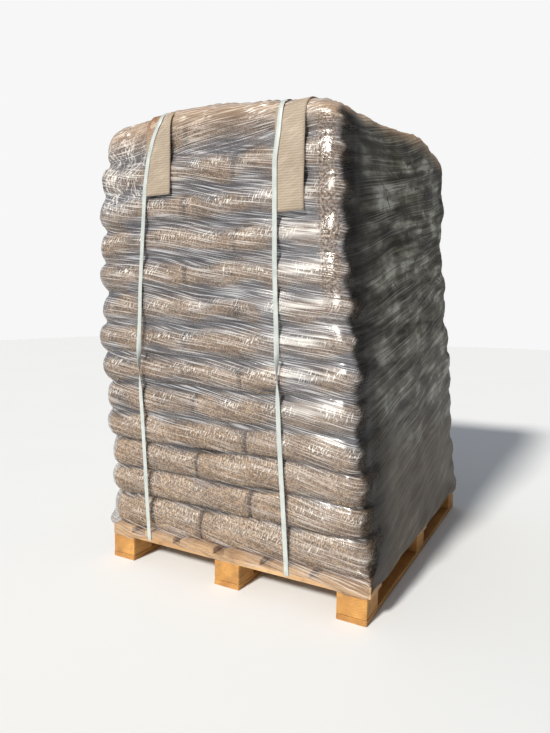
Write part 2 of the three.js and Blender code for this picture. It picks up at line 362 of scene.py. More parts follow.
def placeCamera(setup):
    yaw, pitch, roll = (math.radians(setup[key]) for key in ("yaw", "pitch", "roll"))
    ahead = Vector((math.sin(yaw) * math.cos(pitch), math.cos(yaw) * math.cos(pitch), -math.sin(pitch)))
    level = Vector((math.cos(yaw), -math.sin(yaw), 0))
    above = level.cross(ahead)
    right = math.cos(roll) * level + math.sin(roll) * above
    up = -math.sin(roll) * level + math.cos(roll) * above
    lens = bpy.data.cameras.new("camera")
    lens.sensor_width = 36
    lens.lens = setup["lens"]
    camera = bpy.data.objects.new("camera", lens)
    facing = Matrix((right, up, -ahead)).transposed().to_4x4()
    camera.matrix_world = Matrix.Translation(setup["place"]) @ facing
    bpy.context.collection.objects.link(camera)
    bpy.context.scene.camera = camera


lightSetup = {
    "keyFrom": (-0.13, -0.86, 0.62),
    "keyStrength": 4.3,
    "keySize": 7.0,     # degrees across
    "keyColour": (1.0, 0.955, 0.88),
    "skyColour": (0.78, 0.82, 0.88, 1),
    "skyStrength": 0.46,
    "shadeSide": 0.35,      # share of the sky's light from the right
    "groundColour": (0.62, 0.60, 0.57, 1),
    "backdrop": (0.93, 0.93, 0.93, 1),
    "floorColour": (0.85, 0.87, 0.89, 1),
    "floorShade": (0.8245, 0.8439, 0.8633, 1),
    "floorReach": 14.0,
}


def lightScene(setup):
    sun = bpy.data.lights.new("key", "SUN")
    sun.energy = setup["keyStrength"]
    sun.angle = math.radians(setup["keySize"])
    sun.color = setup["keyColour"]
    lamp = bpy.data.objects.new("key", sun)
    lamp.rotation_euler = Vector(setup["keyFrom"]).to_track_quat("Z", "Y").to_euler()
    bpy.context.collection.objects.link(lamp)
    world = bpy.data.worlds.new("studio")
    world.use_nodes = True
    world.node_tree.nodes.clear()
    sky = Value(world.node_tree)
    heading = sky.node("TexCoord", {}, {}, "Generated")
    dome = heading.part("Z").rise(-0.05, 0.25).blend(setup["groundColour"], setup["skyColour"])
    strength = heading.part("X").rise(-0.2, 0.8, 1.0, setup["shadeSide"]) * setup["skyStrength"]
    soft = sky.node("Background", {}, {"Color": dome, "Strength": strength})
    white = sky.node("Background", {}, {"Color": setup["backdrop"], "Strength": 1.0})
    seen = sky.node("LightPath", {}, {}, "Is Camera Ray")
    both = sky.node("MixShader", {}, {0: seen, 1: soft, 2: white})
    end = world.node_tree.nodes.new("ShaderNodeOutputWorld")
    world.node_tree.links.new(both.socket, end.inputs["Surface"])
    bpy.context.scene.world = world
    bpy.context.scene.view_settings.view_transform = "Standard"


def layFloor(setup):
    reach = setup["floorReach"]
    corner = np.array([[-1, -1, 0], [1, -1, 0], [1, 1, 0], [-1, 1, 0]]) * reach
    floor = addMesh("floor", corner, [[[0, 1, 2, 3]]], [[0, 0], [1, 0], [1, 1], [0, 1]])
    material, shade = newMaterial("paleFloor")
    place = shade.node("TexCoord", {}, {}, "Object")
    tone = place.noise(1.3, 3.0).blend(setup["floorColour"], setup["floorShade"])
    finishSurface(shade, shade.node("BsdfPrincipled", {}, {"Base Color": tone, "Roughness": 0.85}))
    floor.data.materials.append(material)


placeCamera(cameraSetup)
lightScene(lightSetup)
layFloor(lightSetup)
print("stage: camera, light and floor")


# Wood

woodLook = {
    "edgeRound": 1.6 * mm,
    "endRound": 1.2 * mm,
    "warp": 0.5 * mm,
    "ringWidth": 4.2 * mm,
    "deckLight": colour(216, 182, 138),
    "deckDark": colour(150, 108, 70),
    "blockLight": colour(210, 158, 86),
    "blockDark": colour(128, 78, 34),
    "knot": colour(112, 62, 28),
    "grime": colour(112, 84, 58),
    "facePitch": 18 * mm,       # between points across a face
    "boardPitch": 30 * mm,      # and along a board
    "blockPitch": 16 * mm,
    "wane": 2.5 * mm,
}


def woodMaterial(name, light, dark):
    # grain holds a place in the timber: across, along and through, with its own start for each piece
    material, shade = newMaterial(name)
    grain = shade.attribute("grain", "Vector")
    across, along, through = grain.part("X"), grain.part("Y"), grain.part("Z")
    drift = shade.vector(across * 9, along * 1.1, through * 9).noise(1.0, 3.0)
    pith = (across * across + through * through).root()
    rings = ((pith / woodLook["ringWidth"] + drift * 5.0) * fullTurn).sine() * 0.5 + 0.5
    fibre = shade.vector(across * 420, along * 7, through * 420).noise(1.0, 4.0, 0.65)
    saw = shade.vector(across * 30, along * 190, through * 60).noise(1.0, 2.0)
    cloud = shade.vector(across * 14, along * 5, through * 14).noise(1.0, 3.0)
    tone = (rings ** 1.6) * 0.15 + fibre * 0.58 + cloud * 0.62 - 0.25
    base = tone.ramp((0.20, light), (0.66, dark))
    spots = shade.vector(across * 11, along * 3.1, through * 5)
    isKnot = 1 - spots.cells()[0].rise(0.05, 0.11)
    knotted = (isKnot * 0.8).blend(base, woodLook["knot"])
    grime = shade.node("TexCoord", {}, {}, "Object").noise(23, 4.0, 0.6).rise(0.52, 0.75)
    dusty = (grime * 0.42).blend(knotted, woodLook["grime"])
    relief = rings * 0.15 + fibre * 0.8 + saw * 0.4
    finishSurface(shade, shade.node("BsdfPrincipled", {}, {
        "Base Color": dusty,
        "Roughness": fibre * 0.2 + 0.62,
        "Normal": relief.bump(0.5, 0.6 * mm),
    }))
    return material


def boardSection(width, height, roundness, pitch):
    # rounded rectangle round the board's length, with points along its faces too
    half, tall = width / 2, height / 2
    points = []
    corners = [(half, -tall, -90), (half, tall, 0), (-half, tall, 90), (-half, -tall, 180)]
    for x, z, start in corners:
        for step in range(4):
            angle = math.radians(start + step * 30)
            points.append((x - math.copysign(roundness, x) + roundness * math.cos(angle),
                           z - math.copysign(roundness, z) + roundness * math.sin(angle)))
    ring = []
    for index, point in enumerate(points):
        after = points[(index + 1) % len(points)]
        gap = math.dist(point, after)
        steps = max(1, round(gap / pitch)) if gap > 3 * roundness else 1
        ring += [(point[0] + (after[0] - point[0]) * step / steps,
                  point[1] + (after[1] - point[1]) * step / steps) for step in range(steps)]
    return np.array(ring)


def board(node, lengthAxis, seed, material, slot, pitch=woodLook["boardPitch"]):
    look = woodLook
    low, high = boxOf(node)
    size, centre = high - low, (high + low) / 2
    widthAxis = 1 - lengthAxis
    chance = np.random.default_rng(seed)
    ring = boardSection(size[widthAxis], size[2], look["edgeRound"], look["facePitch"])
    length = size[lengthAxis]
    inner = np.linspace(look["endRound"], length - look["endRound"], max(5, round(length / pitch)))
    stations = np.concatenate([[0], inner, [length]]) - length / 2
    half = np.array([size[widthAxis], size[2]]) / 2
    inset = np.zeros((len(stations), 1, 1))
    inset[[0, -1]] = look["endRound"]
    rows = np.zeros((len(stations), len(ring), 3))
    rows[..., [widthAxis, 2]] = ring * (half - inset) / half
    rows[..., lengthAxis] = stations[:, None]
    # sawn faces are never quite flat: everything moves inwards only
    rough = np.abs(ripple(rows * (1, 1, 3), 0.16, seed)) * look["warp"] * 0.5
    rough += np.abs(ripple(rows, 0.03, seed + 1)) * look["warp"] * 0.25
    toMiddle = rows.copy()
    toMiddle[..., lengthAxis] = 0
    toMiddle /= np.maximum(np.linalg.norm(toMiddle, axis=-1, keepdims=True), 1e-6)
    rows -= toMiddle * rough[..., None]
    # here and there the corner of one edge is missing
    isWane = ring[:, 0] * chance.choice([-1, 1]) > 0.47 * size[widthAxis]
    wane = smooth(ripple(rows[:, :1], 0.5, seed + 2), 0.9, 1.8) * look["wane"]
    rows[:, :, widthAxis] -= np.sign(rows[:, :, widthAxis]) * wane * isWane
    start = np.array([chance.uniform(-0.06, 0.06), chance.uniform(-9, 9), chance.uniform(0.03, 0.12)])
    rows = rows[:, ::-1]
    grain = rows[..., [widthAxis, lengthAxis, 2]] + start
    made = gridPiece(node + "_wood", rows + centre, attributes={"grain": grain}, flatCaps=True)
    return dress(faceOut(made), slot, material, node)


def faceOut(piece):
    # turns the faces outwards where the volume that they enclose comes out negative
    mesh = piece.data
    mesh.calc_loop_triangles()
    corner = np.zeros(len(mesh.vertices) * 3)
    mesh.vertices.foreach_get("co", corner)
    index = np.zeros(len(mesh.loop_triangles) * 3, dtype=np.int32)
    mesh.loop_triangles.foreach_get("vertices", index)
    first, second, third = corner.reshape(-1, 3)[index.reshape(-1, 3)].transpose(1, 0, 2)
    if np.einsum("ij,ij->", first, np.cross(second, third)) < 0:
        mesh.flip_normals()
    return piece


def buildPallet():
    boardWood = woodMaterial("boardWood", woodLook["deckLight"], woodLook["deckDark"])
    blockWood = woodMaterial("blockWood", woodLook["blockLight"], woodLook["blockDark"])
    seed = 100
    for side in ("left", "middle", "right"):
        board(f"bottom_board_{side}", 1, seed, blockWood, "block_wood")
        for line in ("front", "middle", "back"):
            seed += 10
            board(f"block_{line}_{side}", 1, seed, blockWood, "block_wood", woodLook["blockPitch"])
        seed += 10
    for line in ("front", "middle", "back"):
        seed += 10
        board(f"cross_board_{line}", 0, seed, boardWood, "board_wood")
    for number in range(1, 7):
        seed += 10
        board(f"deck_board_{number}", 1, seed, boardWood, "board_wood")


buildPallet()
print("stage: pallet")


# Bags of pellets

sideNames = ("front", "right", "back", "left")

bagLook = {
    "lowRoll": 25 * mm,         # how far a free side draws in above and below, in the lowest layers
    "highRoll": 33 * mm,        # and in the upper ones
    "rollLayers": (3, 7),       # the layers between which the one passes into the other
    "squareness": 0.80,         # 1 for a round side, less for a squarer one
    "pressedRoll": 7 * mm,      # the draw of a side that is pressed against the next bag
    "freeRadius": 62 * mm,
    "jointRadius": 17 * mm,
    "innerRadius": 26 * mm,
    "freePitch": 15 * mm,
    "hiddenPitch": 70 * mm,
    "levels": 10,
    "lean": 1.5 * mm,
    "cornerDroop": 11 * mm,
    "jointDroop": 17 * mm,
    "droopFrom": 20 * mm,       # distance from a corner within which it droops fully
    "droopReach": 70 * mm,      # and then over about this distance less
    "leastRadius": 14 * mm,
    "joinGap": 1.5 * mm,
    "lump": 1.3 * mm,
    "pucker": 0.6 * mm,
    "bedDepth": 4.2 * mm,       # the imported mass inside, behind the outermost pellets
    "topShoulder": {"front": 60 * mm, "right": 24 * mm, "back": 40 * mm, "left": 45 * mm},
    "topDepth": 66 * mm,
    "topDome": 6 * mm,
    "fill": 0.9,
}

pelletLook = {
    "count": 62000,
    "radius": 2.9 * mm,
    "shortest": 8 * mm,
    "longest": 19 * mm,
    "depth": 3.4 * mm,          # middle of a pellet under the bag's skin
    "depthSpread": 1.8 * mm,
    "dark": colour(94, 72, 54),
    "usual": colour(159, 132, 104),
    "light": colour(226, 200, 168),
}

crownLook = {
    # how far the top has sunk along its front edge, from left to right
    "frontDrop": [(0.0, 28 * mm), (0.12, 16 * mm), (0.22, 10 * mm), (0.33, -6 * mm), (0.43, -5 * mm),
                  (0.55, 4 * mm), (0.68, 26 * mm), (0.80, 40 * mm), (0.90, 42 * mm), (0.96, 56 * mm),
                  (1.0, 76 * mm)],
    "levelFrom": 0.66,          # share of the way to the back by which the top is level again
    "backRight": 26 * mm,       # the back right corner has risen
    "bulge": 20 * mm,           # the upper right side stands out by this much
    "bulgeMiddle": 0.13,
    "bulgeReach": 0.28,
    "bulgeHeights": (1.20, 1.42),
    "wave": 4.5 * mm,
    "swell": 3.0 * mm,
}


def layerBoxes():
    boxes = []
    for layer in range(1, layerCount + 1):
        pair, trio = boxOf(f"bags_{layer:02d}_pair"), boxOf(f"bags_{layer:02d}_trio")
        boxes.append({"pair": pair, "trio": trio,
                      "low": np.minimum(pair[0], trio[0]), "high": np.maximum(pair[1], trio[1])})
    return boxes


layers = layerBoxes()
topLayer = layers[-1]
topFloor = layers[-2]["high"][2]


def settle(points):
    # the top has sunk towards its front right corner, and the upper right side bulges
    look = crownLook
    low, high = topLayer["low"], topLayer["high"]
    toRight = np.clip((points[..., 0] - low[0]) / (high[0] - low[0]), 0, 1)
    toBack = np.clip((points[..., 1] - low[1]) / (high[1] - low[1]), 0, 1)
    where, drop = zip(*look["frontDrop"])
    drop = np.interp(toRight, where, drop) * (1 - 0.97 * smooth(toBack, 0.04, look["levelFrom"]))
    drop -= look["backRight"] * smooth(toBack, 0.05, 0.75) * smooth(toRight, 0.4, 1.0)
    share = np.clip((points[..., 2] - topFloor) / (high[2] - topFloor), 0, 1)
    out = np.exp(-((points[..., 1] - look["bulgeMiddle"]) / look["bulgeReach"]) ** 2)
    out = out * smooth(toRight, 0.5, 1.0) * smooth(points[..., 2], *look["bulgeHeights"])
    # no layer is quite level, and no side quite straight
    deckTop = layers[0]["low"][2]
    ease = smooth(points[..., 2], deckTop + 10 * mm, deckTop + 150 * mm)
    wave = ripple(points * (1, 1, 1.7), 0.5, 7) * look["wave"] * ease
    swell = ripple(points * (1, 1, 1.4), 0.24, 8) * look["swell"] * ease
    points[..., 0] += out * look["bulge"] + swell * (2 * toRight - 1)
    points[..., 1] += swell * (2 * toBack - 1)
    points[..., 2] += wave - share * drop
    return points


def rollOf(number):
    # the layers lower down are pressed squarer
    share = smooth(number, *bagLook["rollLayers"])
    return bagLook["lowRoll"] + (bagLook["highRoll"] - bagLook["lowRoll"]) * share


def drawIn(share, roll):
    # how far a free side stands back at this share of its height
    fullness = np.sqrt(np.maximum(1 - (2 * share - 1) ** 2, 0))
    return roll * (1 - fullness ** bagLook["squareness"])


def bagProfile(box, isFree, isTop, number, chance):
    # for each level round the bag: angle, height and how far each side stands in from the box
    (left, front, bottom), (right, back, top) = box
    look = bagLook
    if isTop:
        phi = np.radians(np.concatenate([np.linspace(-90, 0, 6), np.linspace(9, 90, 10)]))
        middle = top - look["topDepth"]
        heights = middle + np.where(phi > 0, look["topDepth"], middle - bottom) * np.sin(phi)
    else:
        phi = np.radians(np.linspace(-90, 90, look["levels"] + 1))
        heights = (bottom + top) / 2 + (top - bottom) / 2 * np.sin(phi)
    share = 0.5 + 0.5 * np.sin(phi)
    capSteps = (0.15, 0.35, 0.6, 0.85) if isTop else (0.25,)
    insets = []
    for side, name in enumerate(sideNames):
        inset = drawIn(share, rollOf(number) if isFree[side] else look["pressedRoll"])
        if isTop:
            shoulder = look["topShoulder"][name] if isFree[side] else 18 * mm
            inset = np.where(phi > 0, shoulder * (1 - np.cos(phi)), inset)
        inset += chance.uniform(0, look["lean"]) if isFree[side] else 0
        halfWidth = (back - front if side in (0, 2) else right - left) / 2
        rest = halfWidth - inset
        over = [inset[-1] + step * rest[-1] for step in capSteps]
        insets.append(np.concatenate([[inset[0] + 0.25 * rest[0]], inset, over]))
    domes = [top + look["topDome"] * isTop * smooth(step, 0, 0.36) for step in capSteps]
    heights = np.concatenate([[bottom], heights, domes])
    phi = np.concatenate([[-math.pi / 2], phi, [math.pi / 2] * len(capSteps)])
    return phi, heights, insets


def bagGrid(box, isFree, isTop, number, seed):
    # one filled bag; isFree says for front, right, back and left whether nothing presses on that side
    (left, front), (right, back) = box[0][:2], box[1][:2]
    look = bagLook
    chance = np.random.default_rng(seed)
    phi, heights, insets = bagProfile(box, isFree, isTop, number, chance)
    leastInset = np.minimum.reduce(insets)
    counts, radii, freeEnds = [], [], []
    for side in range(4):
        width = right - left if side in (0, 2) else back - front
        pitch = look["freePitch"] if isFree[side] or isTop else look["hiddenPitch"]
        counts.append(max(3, round((width - 2 * look["jointRadius"]) / pitch)))
        freeEnds.append(isFree[side] + isFree[(side + 1) % 4])
        wanted = (look["innerRadius"], look["jointRadius"], look["freeRadius"])[freeEnds[side]]
        radii.append(np.maximum(wanted - 0.6 * leastInset, look["leastRadius"]))
    plan = makePlan(counts, 7)
    sides = outline(left + insets[3], right - insets[1], front + insets[0], back - insets[2], radii, plan)
    points = np.concatenate([sides, np.repeat(heights[:, None, None], len(plan), axis=1)], axis=-1)
    free = np.array([(1 - share * isCorner) * isFree[side] + share * isCorner * isFree[(side + 1) % 4]
                     for side, share, isCorner in plan])
    # the bag hangs lower at the corners of the load and towards the next bag
    widest = int(np.argmin(leastInset))
    corners = ((right, front), (right, back), (left, back), (left, front))
    droop, sag = np.zeros(len(plan)), np.zeros(len(plan))
    for (x, y), ends in zip(corners, freeEnds):
        distance = np.hypot(points[widest, :, 0] - x, points[widest, :, 1] - y)
        near = np.exp(-(np.maximum(distance - look["droopFrom"], 0) / look["droopReach"]) ** 2)
        if ends == 2:
            droop += near * look["cornerDroop"]
            sag += near * look["cornerDroop"] * 0.5
        elif ends == 1:
            droop += near * look["jointDroop"] * chance.uniform(0.5, 1.1)
    high = np.clip(0.5 + 0.5 * np.sin(phi), 0, 1)[:, None]
    points[..., 2] -= droop * high ** 1.5 + sag * (1 - high)
    normals = gridNormals(points)
    shown = np.cos(phi)[:, None] * np.ones(len(plan))
    if isTop:
        shown = np.where(phi[:, None] > 0, 1.0, shown)
    lump = ripple(points, 0.15, seed + 1) * 0.7 + ripple(points, 0.06, seed + 2) * 0.35 - 1.0
    along = np.concatenate([[0], np.cumsum(np.linalg.norm(np.diff(points[widest], axis=0), axis=1))])
    across = np.stack([along / (22 * mm) + 0 * phi[:, None], phi[:, None] * 0.9 + 0 * along], axis=-1)
    puckers = ripple(across, 1.0, seed + 3, 20)
    points += normals * (shown * (lump * look["lump"] + puckers * look["pucker"] * free))[..., None]
    points = settle(points)
    return {"points": points, "phi": phi, "free": free, "level": phi[:, None] / (math.pi / 2) + 0 * along}


def bagPlaces():
    # every bag of the load: its node, its own name, its box and its free sides
    gap = bagLook["joinGap"] / 2
    for number, layer in enumerate(layers, start=1):
        for kind, count in (("pair", 2), ("trio", 3)):
            low, high = layer[kind]
            isLeft = bool(low[0] < layer["low"][0] + mm)
            pitch = (high[1] - low[1]) / count
            for index in range(count):
                front = low[1] + index * pitch + (gap if index else 0)
                back = low[1] + (index + 1) * pitch - (gap if index < count - 1 else 0)
                yield {
                    "node": f"bags_{number:02d}_{kind}",
                    "name": f"bag_{number:02d}_{kind}_{index + 1}",
                    "box": ((low[0], front, layer["low"][2]), (high[0], back, layer["high"][2])),
                    "isFree": (index == 0, not isLeft, index == count - 1, isLeft),
                    "isTop": number == layerCount,
                    "number": number,
                    "seed": 1000 + number * 40 + index * 7 + (3 if kind == "trio" else 0),
                }


def scatterPellets(grid, isTop, density, chance):
    # places for pellets just under the skin, evenly over the faces that can be seen
    points, phi, free = grid["points"], grid["phi"], grid["free"]
    normals = gridNormals(points)
    beside, normalsBeside = np.roll(points, -1, axis=1), np.roll(normals, -1, axis=1)
    side = np.linalg.norm(beside - points, axis=-1)[:-1]
    rise = np.linalg.norm(points[1:] - points[:-1], axis=-1)
    level = (phi[1:] + phi[:-1]) / 2
    isSeen = (free > 0.3)[None, :] & (np.abs(level) < math.radians(80))[:, None]
    if isTop:
        isSeen |= (level > math.radians(5))[:, None]
    amount = np.floor(side * rise * density * isSeen + chance.random(side.shape)).astype(int)
    rows, columns = np.nonzero(amount)
    times = amount[rows, columns]
    rows, columns = np.repeat(rows, times), np.repeat(columns, times)
    u, v = chance.random((2, len(rows), 1))

    def inside(values, valuesBeside):
        lower = values[rows, columns] * (1 - u) + valuesBeside[rows, columns] * u
        upper = values[rows + 1, columns] * (1 - u) + valuesBeside[rows + 1, columns] * u
        return lower * (1 - v) + upper * v

    normal = inside(normals, normalsBeside)
    normal /= np.maximum(np.linalg.norm(normal, axis=1, keepdims=True), 1e-6)
    return inside(points, beside), normal


def pelletArrays(place, normal, chance):
    # each pellet is a short three-sided bar with one edge outwards, shaded round
    look = pelletLook
    count = len(place)
    aside = chance.normal(size=(count, 3))
    aside -= normal * np.einsum("ij,ij->i", aside, normal)[:, None]
    aside /= np.linalg.norm(aside, axis=1, keepdims=True)
    axis = aside + normal * chance.normal(0, 0.12, (count, 1))
    axis /= np.linalg.norm(axis, axis=1, keepdims=True)
    outer = normal - axis * np.einsum("ij,ij->i", normal, axis)[:, None]
    outer /= np.linalg.norm(outer, axis=1, keepdims=True)
    wide = np.cross(axis, outer)
    half = chance.uniform(look["shortest"], look["longest"], (count, 1)) / 2
    radius = look["radius"] * chance.uniform(0.92, 1.05, (count, 1))
    depth = look["depth"] + chance.random((count, 1)) * look["depthSpread"] + half ** 2 * 5
    middle = place - normal * depth
    ring = [outer, 0.95 * wide - 0.4 * outer, -0.95 * wide - 0.4 * outer]
    verts = [middle + end * half * axis + radius * arm for end in (-1, 1) for arm in ring]
    verts = np.stack(verts, axis=1).reshape(-1, 3)
    first = 6 * np.arange(count)[:, None, None]
    walls = (first + np.array([[0, 1, 4, 3], [1, 2, 5, 4], [2, 0, 3, 5]])).reshape(-1, 4)
    ends = (first + np.array([[2, 1, 0], [3, 4, 5]])).reshape(-1, 3)
    return verts, walls, ends, np.repeat(chance.random(count), 6)


def pelletMaterial():
    material, shade = newMaterial("pressedPellets")
    tint = shade.attribute("tint", "Fac")
    place = shade.node("TexCoord", {}, {}, "Object")
    speck = place.noise(900, 3.0, 0.6)
    patch = place.noise(16, 2.0)
    tone = tint * 0.55 + speck * 0.3 + patch * 0.3 - 0.08
    base = tone.ramp((0.05, pelletLook["dark"]), (0.5, pelletLook["usual"]), (0.95, pelletLook["light"]))
    finishSurface(shade, shade.node("BsdfPrincipled", {}, {
        "Base Color": base,
        "Roughness": speck * 0.25 + 0.4,
        "Normal": speck.bump(0.35, 0.4 * mm),
    }))
    return material


def bedMaterial():
    # the deeper pellets, seen between the outermost ones: three heaps that lie in different directions
    material, shade = newMaterial("packedPellets")
    place = shade.node("TexCoord", {}, {}, "Object")
    heaps = []
    for turn in ((20, 35, 15), (70, -30, 75), (-40, 50, -50)):
        distance, random = place.drawnOut(turn, 14 * mm, 5.6 * mm, 5.6 * mm).cells()
        pick = random.part("X")
        heaps.append((pick * 0.35 + 1 - distance, pick))
    height, pick = heaps[0]
    for other, otherPick in heaps[1:]:
        isOver = other.math("GREATER_THAN", other, height)
        pick = isOver * (otherPick - pick) + pick
        height = height.most(other)
    # painted shade: each pellet is darker towards the rim of its cell, where it dips under its neighbours,
    # and darkest in the gaps
    tone = pick * 0.45 + (height - 0.55) * 0.75 + place.noise(16, 2.0) * 0.3 - 0.12
    base = tone.ramp((0.0, colour(84, 62, 45)), (0.32, pelletLook["dark"]), (0.6, pelletLook["usual"]),
                     (0.95, pelletLook["light"]))
    finishSurface(shade, shade.node("BsdfPrincipled", {}, {
        "Base Color": base,
        "Roughness": pick * 0.2 + 0.45,
        "Normal": height.bump(0.9, 3 * mm),
    }))
    return material


def bagFilmMaterial():
    material, shade = newMaterial("bagFilm")
    level = shade.attribute("level", "Fac")
    place = shade.node("TexCoord", {}, {}, "Object")
    face = shade.vector(place.part("X") + place.part("Y"), place.part("Z"), 0.0)
    ticks = face.streaks(64, 17 * mm, 4.6 * mm)
    speckle = place.noise(290, 1.0)
    crumple = place.noise(70, 3.0, 0.6)
    patch = place.noise(8, 1.0).rise(0.40, 0.56)
    # painted glints: white ticks on each bag's upper curve and fine white specks all over are made opaque in
    # the mix, so that they show as highlights
    upper = level.rise(-0.05, 0.25) * (1 - level.rise(0.75, 0.95))
    glint = ticks.rise(0.53, 0.61) * upper * patch
    spark = speckle.rise(0.55, 0.64) * (upper * 0.6 + 0.4)
    facing = shade.node("LayerWeight", {}, {"Blend": 0.25}, "Fresnel")
    share = 0.06 + facing * 0.28 + glint * 0.60 + spark * 0.38 + crumple.rise(0.52, 0.64) * 0.10
    relief = ticks * 0.7 + speckle * 0.5 + crumple * 0.9
    gloss = shade.node("BsdfPrincipled", {}, {
        "Base Color": colour(236, 221, 203),
        "Roughness": 0.18,
        "Specular IOR Level": 0.9,
        "Normal": relief.bump(0.8, 1.8 * mm),
    })
    clear = shade.node("BsdfTransparent", {}, {"Color": (0.98, 0.97, 0.96, 1)})
    finishSurface(shade, shade.node("MixShader", {}, {0: share.least(0.9), 1: clear, 2: gloss}))
    return material


def buildBags():
    skinMaterial, bulk, loose = bagFilmMaterial(), bedMaterial(), pelletMaterial()
    bags = list(bagPlaces())
    for bag in bags:
        bag["grid"] = bagGrid(bag["box"], bag["isFree"], bag["isTop"], bag["number"], bag["seed"])
    # density from the area that takes pellets, so that their number stays what it should be
    chance = np.random.default_rng(5)
    trialDensity = 2000
    trial = sum(len(scatterPellets(bag["grid"], bag["isTop"], trialDensity, chance)[0]) for bag in bags)
    density = trialDensity * pelletLook["count"] / trial
    rows = {}
    for bag in bags:
        grid = bag["grid"]
        skin = gridPiece(bag["name"] + "_skin", grid["points"], attributes={"level": grid["level"]})
        dress(skin, "bag_film", skinMaterial, bag["node"])
        inner = grid["points"] - gridNormals(grid["points"]) * bagLook["bedDepth"]
        bed = gridPiece(bag["name"] + "_bed", inner[:, ::2])
        dress(bed, "pellets", bulk, bag["node"])
        chance = np.random.default_rng(bag["seed"] + 5)
        place, normal = scatterPellets(grid, bag["isTop"], density, chance)
        rows.setdefault(bag["node"], []).append(pelletArrays(place, normal, chance))
    for node, parts in rows.items():
        starts = np.cumsum([0] + [len(part[0]) for part in parts[:-1]])
        verts, tints = (np.concatenate([part[index] for part in parts]) for index in (0, 3))
        faces = [np.concatenate([part[index] + start for part, start in zip(parts, starts)])
                 for index in (1, 2)]
        piece = addMesh(node + "_pellets", verts, faces, atlasUvs(faces), {"tint": tints})
        isSmooth = np.repeat([True, False], [len(group) for group in faces])
        piece.data.polygons.foreach_set("use_smooth", isSmooth)
        dress(piece, "pellets", loose, node)
    print(f"stage: bags, {density:.0f} pellets per square metre seen")


buildBags()


# Stretch film

filmLook = {
    "standOff": 2.2 * mm,
    "rowPitch": 5.5 * mm,
    "columns": {"front": 84, "right": 84, "back": 34, "left": 42},
    "cornerSteps": 9,
    "cornerRadius": 63 * mm,
    "deckCorner": 3 * mm,
    "deckGap": 1.6 * mm,
    "hemHeight": 101 * mm,
    "hemRows": 6,
    "offDeck": ((0.124, 0.130), (0.140, 0.165)),    # heights where the film hangs free above the deck
    "valleyAtTop": 11 * mm,
    "valleyAtBottom": 18 * mm,
    "valleyShare": {"front": 1.0, "right": 0.22, "back": 1.0, "left": 1.0},
    "cornerFade": 60 * mm,
    "crownShrink": 30 * mm,
    "rimShrink": 47 * mm,
    "leastCorner": 14 * mm,
    "foldHeight": 0.9 * mm,
    "tautReach": 22 * mm,       # how far at most the taut right side stands away from the bags
    "tautShare": 0.92,
    # how far in over the crown the film reaches past the shoulder, and then its loose rim as (in, up)
    "overCrown": (12, 26, 40, 56, 74, 94, 114, 134, 150, 162, 170),
    "rim": ((175, 3), (177, 6), (174, 9), (170, 8), (171, 4)),
    "flat": (4.36, 1.75),
    # the folds: rise in degrees, length and width in metres, seed
    "falling": (-9, 0.30, 0.030, 32),
    "highRising": (13, 0.32, 0.034, 33),
    "rightRising": (14, 0.55, 0.040, 34),
    "fine": (-3, 0.20, 0.022, 35),
}


def filmValleys():
    chance = np.random.default_rng(21)
    depth = np.linspace(filmLook["valleyAtBottom"], filmLook["valleyAtTop"], layerCount - 1)
    return depth * chance.uniform(0.8, 1.2, layerCount - 1)


def softLeast(first, second, softness):
    return -softness * np.log(np.exp(-first / softness) + np.exp(-second / softness))


def filmDistance(reach, deckReach, heights, valleyShare):
    # how far out the film stands on one side at each height, from the reach of the bags behind it
    bottoms = np.array([layer["low"][2] for layer in layers] + [topLayer["high"][2]])
    layer = np.clip(np.searchsorted(bottoms, heights, side="right") - 1, 0, layerCount - 1)
    share = np.clip((heights - bottoms[layer]) / (bottoms[layer + 1] - bottoms[layer]), 0, 1)
    roll = drawIn(share, rollOf(layer + 1))
    isLower = share < 0.5
    isCrown = (layer == layerCount - 1) & ~isLower
    neighbour = np.clip(np.where(isLower, layer - 1, layer + 1), 0, layerCount - 1)
    valley = filmValleys()[np.clip(np.where(isLower, layer - 1, layer), 0, layerCount - 2)]
    inset = np.where(isCrown, 0, softLeast(roll, valley * valleyShare, 2 * mm))
    edge = np.where(isLower, share, 1 - share)
    mixed = np.where(isCrown, 0, 0.5 * (1 - smooth(edge, 0, 0.16)))
    distance = reach[layer] * (1 - mixed) + reach[neighbour] * mixed
    # at the deck the film leaves the lowest bags for the deck's edge
    step = reach[0] + filmLook["standOff"] - deckReach - filmLook["deckGap"]
    if step > 2 * mm:
        deckInset = softLeast(roll, np.full(len(share), step), 2 * mm)
    else:
        deckInset = step * (1 - smooth(share, 0, 0.45))
    toDeck = (layer == 0) & isLower
    inset = np.where(toDeck, deckInset, inset)
    distance = np.where(toDeck, reach[0], distance) + filmLook["standOff"] - inset
    return np.where(heights <= bottoms[0], deckReach + filmLook["deckGap"], distance)


def filmPlan():
    # the columns run from the middle of the back, so that the film's own end lies there
    look = filmLook
    plan = makePlan([look["columns"][side] for side in sideNames], look["cornerSteps"])
    start = next(index for index, (side, share, isCorner) in enumerate(plan) if side == 2 and share >= 0.5)
    return plan[start:] + plan[:start]


